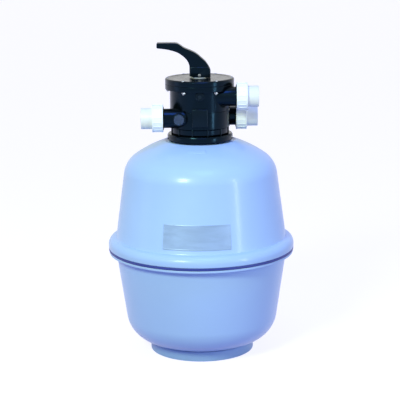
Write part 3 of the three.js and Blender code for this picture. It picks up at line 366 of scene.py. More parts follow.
@dataclass(frozen=True)
class Ring:
    """Copies of a template placed round Z by the ring tree."""

    count: int
    first: float = 0.0
    sweep: float = 360.0

    def spread(self, template: Piece, material: bpy.types.Material) -> None:
        """Repeat the template, which becomes the whole ring as one plain mesh.

        Args:
            template: the piece that is repeated.
            material: the material of every copy.
        """
        name = "ring of copies"
        tree = bpy.data.node_groups.get(name) or ring_array()
        step = template.modifiers.new("ring", "NODES")
        step.node_group = tree
        sockets = {s.name: s.identifier for s in tree.interface.items_tree if s.in_out == "INPUT"}
        step[sockets["Count"]] = self.count
        step[sockets["First Angle"]] = math.radians(self.first)
        step[sockets["Step"]] = math.radians(self.sweep / self.count)
        step[sockets["Finish"]] = material
        baked(template)


# ------------------------------------------------------------------ finishes
NOISE_MIDDLE = (0.3, 0.7)  # between these lie most of a noise's values
WORN_EDGE = (0.53, 0.62)  # pointiness of an edge that starts to wear, and of a bare one
DUST_SETTLES = (0.35, 0.8)  # upward slope times patch, on a clean face and on a dusty one
DUST_PATCH = 0.03  # width of a patch of dust


def linear(red: int, green: int, blue: int) -> tuple[float, float, float, float]:
    """A display colour, 0 to 255, as the linear colour that a shader takes.

    Args:
        red: the red level.
        green: the green level.
        blue: the blue level.

    Returns:
        The linear colour, with a full alpha.
    """
    parts = (c / 255 for c in (red, green, blue))
    shades = [c / 12.92 if c <= 0.04045 else ((c + 0.055) / 1.055) ** 2.4 for c in parts]
    return (shades[0], shades[1], shades[2], 1.0)


@dataclass(frozen=True)
class Finish:
    """One surface finish, made with nodes on object coordinates.

    The colour drifts by blotch over patches of blotch_size, the roughness by rough_spread, and
    grain_height is the depth of the moulded grain, whose cells are grain_size across.
    """

    name: str
    colour: tuple[int, int, int]
    roughness: float
    blotch: float = 0.03
    blotch_size: float = 0.08
    rough_spread: float = 0.05
    grain_size: float = 0.0012
    grain_height: float = 0.00002
    wave_size: float = 0.0
    wave_height: float = 0.0
    metallic: float = 0.0
    specular: float = 0.5
    specular_tint: tuple[int, int, int] = (255, 255, 255)
    coat: float = 0.0
    coat_roughness: float = 0.1
    stretch: tuple[float, float, float] = (1.0, 1.0, 1.0)
    transmission: float = 0.0
    wear: float = 0.0
    wear_colour: tuple[int, int, int] = (255, 255, 255)
    dust: float = 0.0
    dust_colour: tuple[int, int, int] = (200, 196, 186)

    def material(self) -> bpy.types.Material:
        """The finish's material, made once."""
        made = bpy.data.materials.get(self.name)
        return made if made else self._build()

    def _noise(
        self, tree: bpy.types.NodeTree, place: Socket, size: float, detail: float
    ) -> Socket:
        """Add a noise texture whose cells are size across, and return its value.

        Args:
            tree: the node tree.
            place: where the pattern is read.
            size: width of a cell.
            detail: layers of finer noise.

        Returns:
            The noise value.
        """
        noise = tree.nodes.new("ShaderNodeTexNoise")
        noise.inputs["Scale"].default_value = 1.0 / size
        noise.inputs["Detail"].default_value = detail
        tree.links.new(place, noise.inputs["Vector"])
        return noise.outputs["Fac"]

    def _ranged(
        self, tree: bpy.types.NodeTree, value: Socket, source: Point, low: float, high: float
    ) -> Socket:
        """Stretch a part of a value's range to another range.

        Args:
            tree: the node tree.
            value: the value.
            source: the low and high end of the part.
            low: what its low end becomes.
            high: what its high end becomes.

        Returns:
            The stretched value.
        """
        span = tree.nodes.new("ShaderNodeMapRange")
        settings = {"From Min": source[0], "From Max": source[1], "To Min": low, "To Max": high}
        for name, setting in settings.items():
            span.inputs[name].default_value = setting
        tree.links.new(value, span.inputs["Value"])
        return span.outputs["Result"]

    def _mix(
        self,
        tree: bpy.types.NodeTree,
        factor: Socket,
        first: Socket | tuple[float, float, float, float],
        second: tuple[float, float, float, float],
    ) -> Socket:
        """Blend two colours by a factor.

        Args:
            tree: the node tree.
            factor: share of the second colour.
            first: the first colour.
            second: the second colour.

        Returns:
            The blended colour.
        """
        mix = tree.nodes.new("ShaderNodeMix")
        mix.data_type = "RGBA"
        tree.links.new(factor, mix.inputs["Factor"])
        if isinstance(first, Socket):
            tree.links.new(first, mix.inputs[6])
        else:
            mix.inputs[6].default_value = first
        mix.inputs[7].default_value = second
        return mix.outputs[2]

    def _build(self) -> bpy.types.Material:
        """Make the node tree.

        Returns:
            The new material.
        """
        made = bpy.data.materials.new(self.name)
        made.use_nodes = True
        tree = made.node_tree
        nodes, links = tree.nodes, tree.links
        shader = nodes["Principled BSDF"]
        coords = nodes.new("ShaderNodeTexCoord")
        mapping = nodes.new("ShaderNodeMapping")
        mapping.inputs["Scale"].default_value = self.stretch
        links.new(coords.outputs["Object"], mapping.inputs["Vector"])
        place = mapping.outputs["Vector"]

        base = linear(*self.colour)
        dark = tuple(c * (1 - self.blotch) for c in base[:3]) + (1.0,)
        light = tuple(min(1.0, c * (1 + self.blotch)) for c in base[:3]) + (1.0,)
        patches = self._noise(tree, place, self.blotch_size, 4.0)
        drift = self._ranged(tree, patches, NOISE_MIDDLE, 0.0, 1.0)
        colour = self._mix(tree, drift, dark, light)
        if self.wear > 0:
            geometry = nodes.new("ShaderNodeNewGeometry")
            edge = self._ranged(tree, geometry.outputs["Pointiness"], WORN_EDGE, 0.0, self.wear)
            colour = self._mix(tree, edge, colour, linear(*self.wear_colour))
        if self.dust > 0:
            geometry = nodes.new("ShaderNodeNewGeometry")
            split = nodes.new("ShaderNodeSeparateXYZ")
            links.new(geometry.outputs["Normal"], split.inputs[0])
            drifts = self._noise(tree, place, DUST_PATCH, 5.0)
            gather = nodes.new("ShaderNodeMath")
            gather.operation = "MULTIPLY"
            links.new(split.outputs["Z"], gather.inputs[0])
            links.new(drifts, gather.inputs[1])
            settle = self._ranged(tree, gather.outputs[0], DUST_SETTLES, 0.0, self.dust)
            colour = self._mix(tree, settle, colour, linear(*self.dust_colour))
        links.new(colour, shader.inputs["Base Color"])

        gloss = self._noise(tree, place, self.blotch_size * 0.4, 6.0)
        least = max(0.02, self.roughness - self.rough_spread)
        most = self.roughness + self.rough_spread
        rough = self._ranged(tree, gloss, NOISE_MIDDLE, least, most)
        links.new(rough, shader.inputs["Roughness"])

        bump = nodes.new("ShaderNodeBump")
        bump.inputs["Distance"].default_value = self.grain_height
        links.new(self._noise(tree, place, self.grain_size, 2.0), bump.inputs["Height"])
        if self.wave_height > 0:
            wave = nodes.new("ShaderNodeBump")
            wave.inputs["Distance"].default_value = self.wave_height
            links.new(self._noise(tree, place, self.wave_size, 1.0), wave.inputs["Height"])
            links.new(wave.outputs["Normal"], bump.inputs["Normal"])
        links.new(bump.outputs["Normal"], shader.inputs["Normal"])

        settings = {
            "Metallic": self.metallic,
            "Specular IOR Level": self.specular,
            "Specular Tint": linear(*self.specular_tint),
            "Coat Weight": self.coat,
            "Coat Roughness": self.coat_roughness,
            "Transmission Weight": self.transmission,
        }
        for name, setting in settings.items():
            shader.inputs[name].default_value = setting
        return made


TANK_BLUE = Finish(
    "moulded tank blue", (167, 196, 243), 0.32, blotch=0.025, blotch_size=0.22, rough_spread=0.04,
    grain_size=0.0016, grain_height=0.00003, wave_size=0.05, wave_height=0.0003, specular=0.22,
    coat=0.2, coat_roughness=0.14, dust=0.05, dust_colour=(196, 212, 236),
)
# The foot's blue is the tank's blue made darker: painted shade for the shadow under the lower
# shell. Its dust is its own.
FOOT_BLUE_PAINTED_SHADE = Finish(
    "foot blue with painted shade", (150, 180, 230), 0.42, blotch=0.03, blotch_size=0.1, grain_height=0.00004,
    specular=0.25, dust=0.08, dust_colour=(170, 188, 214),
)
SEAL_BLUE = Finish(
    "dark blue seal", (40, 56, 138), 0.45, blotch=0.08, blotch_size=0.03, grain_height=0.00004,
)
# Its blue specular tint is a painted reflection: it turns every reflection on the black parts blue.
VALVE_BLACK = Finish(
    "glass-filled black", (4, 8, 12), 0.18, blotch=0.12, blotch_size=0.03, rough_spread=0.06,
    grain_size=0.0009, grain_height=0.00003, specular=0.22, specular_tint=(132, 198, 255),
    wear=0.2, wear_colour=(62, 72, 84), dust=0.03, dust_colour=(90, 100, 116),
)
UNION_WHITE = Finish(
    "white pipe plastic", (243, 247, 250), 0.34, blotch=0.012, blotch_size=0.05,
    grain_height=0.00002, dust=0.05,
)
PIPE_WHITE = Finish(
    "plain white pipe", (228, 230, 228), 0.4, blotch=0.02, grain_height=0.00002,
)
BLACK_RUBBER = Finish(
    "black seal rubber", (24, 24, 26), 0.72, blotch=0.1, blotch_size=0.01, grain_height=0.00003,
)
STAINLESS = Finish(
    "brushed stainless", (150, 155, 164), 0.3, blotch=0.05, blotch_size=0.004, metallic=1.0,
    grain_size=0.0004, grain_height=0.00001, stretch=(1.0, 1.0, 6.0),
)
PLATE_METAL = Finish(
    "bare plate", (146, 172, 208), 0.4, blotch=0.1, blotch_size=0.016, metallic=0.25,
    grain_size=0.0006, grain_height=0.00001, stretch=(0.15, 1.0, 1.0),
)
SIGHT_CLEAR = Finish(
    "clear sight window", (120, 142, 176), 0.1, blotch=0.01, rough_spread=0.03,
    grain_height=0.000005, specular=0.25, transmission=0.85, specular_tint=(170, 200, 255),
)
SILICA = Finish(
    "silica sand", (203, 184, 142), 0.95, blotch=0.3, blotch_size=0.0016, grain_size=0.0008,
    grain_height=0.0004, specular=0.2,
)


def dress(thing: Piece, finish: Finish) -> None:
    """Give an object one finish.

    Args:
        thing: the object.
        finish: its surface finish.
    """
    thing.data.materials.clear()
    thing.data.materials.append(finish.material())


def fit(thing: Piece, body: str, *nodes: str) -> None:
    """Ride a finished piece on a body, in place of the nodes that it stands for.

    Args:
        thing: the finished piece.
        body: the moving body that it rides on.
        *nodes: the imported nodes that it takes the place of.
    """
    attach(thing, body)
    if nodes:
        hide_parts(*nodes)
    LOG.info("%s rides on %s, %d faces", thing.name, body, len(thing.data.polygons))


def finished(
    thing: Piece, finish: Finish, slot: str, body: str, *nodes: str, crease: float = CREASE
) -> None:
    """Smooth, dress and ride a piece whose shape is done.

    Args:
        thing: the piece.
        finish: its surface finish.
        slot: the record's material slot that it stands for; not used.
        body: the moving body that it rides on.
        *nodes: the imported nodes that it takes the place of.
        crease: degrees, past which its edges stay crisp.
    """
    smooth(thing, crease)
    dress(thing, finish)
    fit(thing, body, *nodes)


def low(node: str) -> Vector:
    """The lowest corner of a node at rest."""
    return Vector(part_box(node)[0])


def high(node: str) -> Vector:
    """The highest corner of a node at rest."""
    return Vector(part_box(node)[1])


# ------------------------------------------------------------------ tank
@dataclass(frozen=True)
class Dome:
    """Half of the tank, from the seam to the pole: a drafted wall, a knuckle and a crown."""

    wall_radius: float
    draft: float
    knuckle: float
    crown: float
    depth: float
    knuckle_steps: int = 18
    crown_steps: int = 16

    def wall_at(self, height: float, inset: float = 0.0) -> float:
        """The wall's radius at a height from the seam."""
        return self.wall_radius - inset / math.cos(self.draft) - height * math.tan(self.draft)

    def outline(self, inset: float, start: float, rim: float) -> list[Point]:
        """The dome's outline.

        Args:
            inset: how far inside the outer skin it lies.
            start: height on the wall where it starts.
            rim: radius on the crown where it ends.

        Returns:
            (radius, height from the seam) points.
        """
        knuckle = self.knuckle - inset
        crown = self.crown - inset
        centre = self.depth - self.crown
        slope = math.tan(self.draft)
        reach = self.wall_at(0, inset) - knuckle / math.cos(self.draft)
        a = 1 + slope**2
        b = reach * slope + centre
        c = reach**2 + centre**2 - (crown - knuckle) ** 2
        knee_height = (b + math.sqrt(b * b - a * c)) / a
        knee = (reach - slope * knee_height, knee_height)
        meet = math.atan2(knee_height - centre, knee[0])
        end = math.acos(rim / crown)
        points = [(self.wall_at(start, inset), start)]
        points += arc(knee, knuckle, self.draft, meet, self.knuckle_steps)
        return points + arc((0.0, centre), crown, meet, end, self.crown_steps)[1:]


@dataclass
class Tank:
    """The two shells with their seam, foot, plate, badge and drain.

    neck_flange is a radius and a height; spigot is its bore and its thread's root and crest radius;
    cap is its inner and outer radius; the turns of plate and badge are degrees from the front.
    """

    wall: float = 6.5 * MM
    upper: Dome = Dome(247 * MM, 0.136, 72.1 * MM, 324 * MM, 326.5 * MM)
    lower: Dome = Dome(244.8 * MM, 0.145, 84.7 * MM, 455 * MM, 294.5 * MM)
    flange_radius: float = field(default_factory=lambda: high("tank_upper_shell").x)
    lip_top: float = field(default_factory=lambda: high("tank_lower_shell").z)
    skirt_bottom: float = field(default_factory=lambda: low("tank_upper_shell").z)
    neck_top: float = field(default_factory=lambda: high("tank_upper_shell").z)
    skirt_height: float = 30.5 * MM
    skirt_round: float = 20.5 * MM
    lip_thickness: float = 7.5 * MM
    trough_radius: float = 100 * MM
    neck_height: float = 12.5 * MM
    neck_radius: float = 77 * MM
    neck_bore: float = 68 * MM
    neck_flange: Point = (84 * MM, 6 * MM)
    foot_radius: float = field(default_factory=lambda: high("base_pedestal").x)
    foot_width: float = 30 * MM
    foot_wall: float = 4.5 * MM
    drain_boss: float = 19 * MM
    drain_height: float = 76 * MM
    drain_face: float = 219 * MM
    drain_bore: float = 14.5 * MM
    drain_sides: int = 64
    spigot: Sequence[float] = (9 * MM, 13.3 * MM, 14.1 * MM)
    spigot_threads: int = 6
    cap: Point = (14.9 * MM, 18.6 * MM)
    cap_ribs: int = 20
    plate_width: float = 189 * MM
    plate_turn: float = -2.9
    badge_size: Point = (50 * MM, 17 * MM)
    badge_radius: float = 131 * MM
    badge_turn: float = -4.0
    sides: int = 192

    @property
    def seam(self) -> float:
        """Height of the middle of the seam."""
        return (self.lip_top + self.skirt_bottom) / 2

    def build(self) -> None:
        """Build every piece of the tank."""
        self._upper_shell()
        self._lower_shell()
        self._seal()
        self._foot()
        self._plate()
        self._badge()
        self._drain()

    def _upper_shell(self) -> None:
        """The upper shell, with its rolled skirt over the seam and the neck for the valve."""
        seam, bottom = self.seam, self.skirt_bottom
        top = bottom + self.skirt_height
        turn = self.skirt_round
        start = top + 3.5 * MM
        outline = [(self.upper.wall_at(bottom - seam, self.wall), bottom)]
        outline += [(self.flange_radius - 2.5 * MM, bottom)]
        outline += arc(
            (self.flange_radius - 1.5 * MM, bottom + 1.5 * MM), 1.5 * MM, -math.pi / 2, 0, 4)
        outline += arc((self.flange_radius - turn, top - turn), turn, 0, math.radians(84), 14)
        outline += [(self.upper.wall_at(top - seam) + 0.9 * MM, top + 0.8 * MM)]
        skin = self.upper.outline(0, start - seam, self.trough_radius)
        outline += [(r, seam + h) for r, h in skin]
        trough = self.neck_top - self.neck_height
        flange_radius, flange_height = self.neck_flange
        ceiling = trough - self.wall
        outline += rounded(
            [
                (self.trough_radius - 0.6 * MM, trough, 0.8 * MM),
                (self.neck_radius, trough, 1.5 * MM),
                (self.neck_radius, self.neck_top - flange_height, 0.5 * MM),
                (flange_radius, self.neck_top - flange_height, 0.5 * MM),
                (flange_radius, self.neck_top, 0.5 * MM),
                (self.neck_bore + 4 * MM, self.neck_top, 0.3 * MM),
                (self.neck_bore + 4 * MM, self.neck_top - 2.7 * MM, 0),
                (self.neck_bore, self.neck_top - 2.7 * MM, 0.3 * MM),
                (self.neck_bore, ceiling, 1.5 * MM),
            ]
        )
        drop = ceiling - seam - (self.upper.depth - self.upper.crown)
        rim = math.sqrt((self.upper.crown - self.wall) ** 2 - drop**2)
        inside = self.upper.outline(self.wall, start - seam, rim)
        outline += [(r, seam + h) for r, h in reversed(inside)]
        shell = spun("upper_shell", outline, self.sides, Matrix.Identity(4))
        finished(shell, TANK_BLUE, "tank_shell", "root", "tank_upper_shell")

    def _lower_shell(self) -> None:
        """The lower shell, with its lip under the seal and the boss for the drain."""
        seam, lip = self.seam, self.flange_radius - 1.5 * MM
        bottom = self.lip_top - self.lip_thickness
        start = bottom - 5 * MM
        outline = [(self.lower.wall_at(seam - self.lip_top, self.wall), self.lip_top)]
        outline += arc((lip - 1.2 * MM, self.lip_top - 1.2 * MM), 1.2 * MM, math.pi / 2, 0, 3)
        outline += arc((lip - 2.5 * MM, bottom + 2.5 * MM), 2.5 * MM, 0, -math.pi / 2, 5)
        wall = self.lower.wall_at(seam - start)
        outline += arc((wall + 5 * MM, bottom - 5 * MM), 5 * MM, math.pi / 2, math.radians(172), 5)
        outline += [(r, seam - h) for r, h in self.lower.outline(0, seam - start, 0.0)]
        inside = self.lower.outline(self.wall, seam - start, 0.0)
        outline += [(r, seam - h) for r, h in reversed(inside)]
        shell = spun("lower_shell", outline, self.sides, Matrix.Identity(4))
        place = placed(Axis.BACK, (0, 0, self.drain_height))
        low_end, face = self.drain_face - 16 * MM, self.drain_face
        boss_outline = [(0, low_end, 0), (self.drain_boss, low_end, 0)]
        boss_outline += [(self.drain_boss, face, 1.5 * MM), (0, face, 0)]
        boss = spun("boss", rounded(boss_outline), self.drain_sides, place)
        combine(shell, [boss], "UNION")
        start, end = low_end - 20 * MM, face + 9 * MM
        reach = [(0, start), (self.drain_bore, start), (self.drain_bore, end), (0, end)]
        combine(shell, [spun("bore", reach, 48, place)], "DIFFERENCE")
        finished(shell, TANK_BLUE, "tank_shell", "root", "tank_lower_shell")

    def _seal(self) -> None:
        """The dark seal between the shells, whose edge shows as a line round the seam."""
        under = low("flange_seal").z
        over = 2 * self.seam - under
        outer = self.flange_radius - 0.2 * MM
        inner = outer - 18 * MM
        outline = rounded(
            [
                (inner, under, 0.3 * MM),
                (outer, under, 1.2 * MM),
                (outer, over, 1.2 * MM),
                (outer - 6.3 * MM, over, 0),
                (outer - 6.3 * MM, over + 8 * MM, 1 * MM),
                (outer - 15.3 * MM, over + 8 * MM, 1 * MM),
                (outer - 15.3 * MM, over, 0),
                (inner, over, 0.3 * MM),
            ]
        )
        seal = spun("seam_seal", outline, self.sides, Matrix.Identity(4))
        finished(seal, SEAL_BLUE, "seal_blue", "root", "flange_seal")

    def _foot(self) -> None:
        """The ring foot: a flat sole, an upright skirt and a cradle under the lower shell."""
        inner, outer, wall = self.foot_radius - self.foot_width, self.foot_radius, self.foot_wall
        pole = self.seam - self.lower.depth

        def cradle(radius: float, drop: float) -> Point:
            """A point a little under the lower shell's crown."""
            span = math.sqrt(self.lower.crown**2 - radius**2)
            return (radius, pole + self.lower.crown - span - 0.8 * MM - drop)

        radii = [outer - 1.5 * MM - i * (self.foot_width - 1.5 * MM) / 6 for i in range(7)]
        outline = [(inner, 0.0), (outer - 2 * MM, 0.0)]
        outline += arc((outer - 2 * MM, 2 * MM), 2 * MM, -math.pi / 2, 0, 4)
        outline += [(outer, cradle(outer, 0)[1] - 1.2 * MM)]
        outline += [cradle(r, 0) for r in radii]
        outline += [cradle(r, wall) for r in reversed(radii) if r < outer - wall]
        outline += [(outer - wall, wall), (inner, wall)]
        foot = spun("ring_foot", outline, self.sides, Matrix.Identity(4))
        # Painted shade: the foot takes a darker copy of the tank's blue.
        finished(foot, FOOT_BLUE_PAINTED_SHADE, "tank_shell", "root", "base_pedestal")

    def _relief(
        self,
        name: str,
        size: Sequence[float],
        turn: float,
        place: Callable[[float, float], Point],
        height_at: Callable[[float, float], float],
        cells: tuple[int, int],
    ) -> Piece:
        """A thin plate bent onto the tank, with a relief on its face.

        Args:
            name: the piece's name.
            size: its width along the tank and its height up it.
            turn: its middle's turn from the front, in radians.
            place: gives (radius, z) from the distance off the skin and the distance up.
            height_at: gives the face's height from the distances to the middle, across and up.
            cells: columns and rows of the grid.

        Returns:
            The plate as an object.
        """
        width, height = size
        columns, rows = cells
        bend = place(0.0, 0.0)[0]
        mesh = bmesh.new()
        layers: list[list[list[bmesh.types.BMVert]]] = []
        for face in (False, True):
            grid = []
            for i in range(columns + 1):
                across = (i / columns - 0.5) * width
                strip = []
                for j in range(rows + 1):
                    up = (j / rows - 0.5) * height
                    out = 0.3 * MM + (height_at(across, up) if face else 0.0)
                    radius, z = place(out, up)
                    angle = turn + across / bend
                    spot = (radius * math.sin(angle), -radius * math.cos(angle), z)
                    strip.append(mesh.verts.new(spot))
                grid.append(strip)
            layers.append(grid)
        back, front = layers
        for i in range(columns):
            for j in range(rows):
                mesh.faces.new([front[i][j], front[i + 1][j], front[i + 1][j + 1], front[i][j + 1]])
                mesh.faces.new([back[i][j], back[i][j + 1], back[i + 1][j + 1], back[i + 1][j]])
        for i in range(columns):
            for j in (0, rows):
                mesh.faces.new([back[i][j], back[i + 1][j], front[i + 1][j], front[i][j]])
        for j in range(rows):
            for i in (0, columns):
                mesh.faces.new([back[i][j], back[i][j + 1], front[i][j + 1], front[i][j]])
        return new_object(name, mesh)

    def _plate(self) -> None:
        """The blank rating plate, with a raised border, lying flat on the wall."""
        bottom = low("rating_plate").z
        tall = high("rating_plate").z - bottom
        lean = math.cos(self.upper.draft)
        width, border, rim = self.plate_width, 3.2 * MM, 0.35 * MM

        def place(out: float, up: float) -> Point:
            """A point on the drafted wall."""
            height = bottom + tall / 2 + up - self.seam
            return (self.upper.wall_at(height) + out * lean, self.seam + height)

        def face(across: float, up: float) -> float:
            """The plate's face: a rounded raised border round a flat panel.

            Args:
                across: distance from the plate's middle along it.
                up: distance from its middle up it.

            Returns:
                The face's height over the wall.
            """
            edge = min(width / 2 - abs(across), tall / 2 - abs(up))
            shoulder = min(1.0, max(0.0, (border - edge) / (0.8 * MM)))
            fall = max(0.0, 0.7 * MM - edge) / (0.7 * MM)
            return 0.5 * MM + rim * shoulder - 0.35 * MM * fall**2

        plate = self._relief(
            "blank_plate", (width, tall), math.radians(self.plate_turn), place, face, (236, 86))
        finished(plate, PLATE_METAL, "plate_grey", "root", "rating_plate", crease=RELIEF_CREASE)

    def _badge(self) -> None:
        """The blank raised badge on the shoulder, in the tank's own plastic."""
        crown, centre = self.upper.crown, self.seam + self.upper.depth - self.upper.crown
        base = math.acos(self.badge_radius / crown)
        width, height = self.badge_size

        def place(out: float, up: float) -> Point:
            """A point on the crown."""
            angle = base + up / crown
            return ((crown + out) * math.cos(angle), centre + (crown + out) * math.sin(angle))

        def face(across: float, up: float) -> float:
            """The badge's face, rounded down to its edges."""
            edge = min(width / 2 - abs(across), height / 2 - abs(up))
            return 0.95 * MM * min(1.0, max(0.05, edge / (1.6 * MM))) ** 0.5

        turn = math.radians(self.badge_turn)
        badge = self._relief("blank_badge", (width, height), turn, place, face, (80, 28))
        finished(badge, TANK_BLUE, "tank_shell", "root", "shoulder_badge", crease=RELIEF_CREASE)

    def _drain(self) -> None:
        """The drain spigot and its ribbed cap at the back."""
        place = placed(Axis.BACK, (0, 0, self.drain_height))
        start, end = low("drain_spigot").y, high("drain_spigot").y
        bore, root, crest = self.spigot
        outline: list[Corner] = [(bore, start, 0), (root, start, 0.4 * MM)]
        thread_start = end - 13 * MM
        for i in range(self.spigot_threads):
            foot = thread_start + i * 2 * MM
            outline += [(root, foot, 0), (crest, foot + 0.7 * MM, 0.1 * MM)]
            outline += [(crest, foot + 1.1 * MM, 0.1 * MM), (root, foot + 1.8 * MM, 0)]
        outline += [(root, end, 0.5 * MM), (bore, end, 0.5 * MM)]
        piece = spun("drain_thread", rounded(outline, 2), self.drain_sides, place)
        finished(piece, VALVE_BLACK, "valve_black", "root", "drain_spigot")
        near, far = low("drain_cap").y, high("drain_cap").y
        inner, outer = self.cap
        corners = [
            (0, end + 0.8 * MM, 0),
            (inner, end + 0.8 * MM, 0.6 * MM),
            (inner, near, 0.4 * MM),
            (outer, near, 0.8 * MM),
            (outer, far, 2.2 * MM),
            (0, far, 0),
        ]
        body = spun("drain_cap_ribbed", rounded(corners), self.drain_sides, Matrix.Identity(4))
        rib = bmesh.new()
        length = far - near - 2.5 * MM
        soft_block(
            rib, (1.6 * MM, 1.7 * MM, length), 0.5 * MM,
            Matrix.Translation((outer + 0.3 * MM, 0, near + length / 2 + 0.6 * MM)))
        ribs = new_object("ribs", rib)
        Ring(self.cap_ribs).spread(ribs, VALVE_BLACK.material())
        combine(body, [ribs], "UNION")
        body.data.transform(place)
        finished(body, VALVE_BLACK, "valve_black", "drain_cap", "drain_cap")


# ------------------------------------------------------------------ valve parts
SEAT = high("tank_upper_shell").z


def turned(
    name: str,
    corners: Sequence[Corner],
    sides: int = 96,
    place: Matrix | None = None,
    steps: int = 4,
) -> Piece:
    """A turned piece with rounded corners.

    Args:
        name: the piece's name.
        corners: (radius, height, fillet radius) of each corner of its half section.
        sides: segments round its axis.
        place: the matrix from its own +Z frame, or None to stand it on the valve's seat.
        steps: segments in each fillet.

    Returns:
        The piece as an object.
    """
    stand = Matrix.Translation((0, 0, SEAT)) if place is None else place
    return spun(name, rounded(corners, steps), sides, stand)


def rod(radius: float, start: float, end: float, place: Matrix, sides: int = 64) -> Piece:
    """A plain round bar along the placed +Z axis."""
    corners = [(0, start, 0), (radius, start, 0), (radius, end, 0), (0, end, 0)]
    return turned("rod", corners, sides, place)


def upright(radius: float, bottom: float, top: float, x: float = 0.0, y: float = 0.0) -> Piece:
    """A plain round bar standing on the valve's seat."""
    return rod(radius, bottom, top, Matrix.Translation((x, y, SEAT)), 72)


def block(x: Point, y: Point, z: Point) -> Piece:
    """A sharp box between two limits along each axis, with z from the valve's seat.

    Args:
        x: left and right limits.
        y: front and back limits.
        z: bottom and top limits.

    Returns:
        The box as an object.
    """
    mesh = bmesh.new()
    middle = ((x[0] + x[1]) / 2, (y[0] + y[1]) / 2, 0)
    outline = box_outline((x[1] - x[0]) / 2, (y[1] - y[0]) / 2)
    prism(mesh, outline, SEAT + z[0], SEAT + z[1], Matrix.Translation(middle))
    return new_object("block", mesh)


def pillow(x: Point, y: Point, z: Point, edge: float) -> Piece:
    """A box with rounded edges between two limits along each axis, with z from the seat.

    Args:
        x: left and right limits.
        y: front and back limits.
        z: bottom and top limits.
        edge: radius of its edges.

    Returns:
        The box as an object.
    """
    mesh = bmesh.new()
    size = (x[1] - x[0], y[1] - y[0], z[1] - z[0])
    middle = ((x[0] + x[1]) / 2, (y[0] + y[1]) / 2, SEAT + (z[0] + z[1]) / 2)
    soft_block(mesh, size, edge, Matrix.Translation(middle), 3)
    return new_object("pillow", mesh)


def wedge(
    inner: float, outer: float, turn: float, half: float, bottom: float, top: float
) -> Piece:
    """A sector of a ring standing on the valve's seat.

    Args:
        inner: inner radius.
        outer: outer radius.
        turn: the sector's middle, in degrees from +X.
        half: half of its sweep, in degrees.
        bottom: height of its floor from the seat.
        top: height of its roof from the seat.

    Returns:
        The sector as an object.
    """
    start, end = math.radians(turn - half), math.radians(turn + half)
    outline = arc((0.0, 0.0), outer, start, end, 14) + arc((0.0, 0.0), inner, end, start, 14)
    mesh = bmesh.new()
    prism(mesh, outline, SEAT + bottom, SEAT + top, Matrix.Identity(4))
    return new_object("wedge", mesh)


@dataclass(frozen=True)
class Port:
    """One of the valve's three ports, whose place is read from its union nut."""

    name: str

    @property
    def centre(self) -> Vector:
        """The middle of the port's union nut."""
        return (low(f"{self.name}_union_nut") + high(f"{self.name}_union_nut")) / 2

    @property
    def place(self) -> Matrix:
        """The frame with +Z out along the port, from the valve's axis."""
        centre = self.centre
        return placed(Axis.RIGHT if centre.x > 0 else Axis.LEFT, (0, centre.y, centre.z))


PORTS = (Port("pump"), Port("return"), Port("waste"))
WASTE = PORTS[2]


def around(radius: float, count: int) -> list[Point]:
    """The (x, y) places of equal steps round the valve's axis, from +X."""
    turns = [math.radians(turn) for turn in range(0, 360, 360 // count)]
    return [(radius * math.cos(turn), radius * math.sin(turn)) for turn in turns]


def numbered(name: str, count: int) -> list[str]:
    """The names of a row of like nodes, counted from 1."""
    return [f"{name}_{i}" for i in range(1, count + 1)]


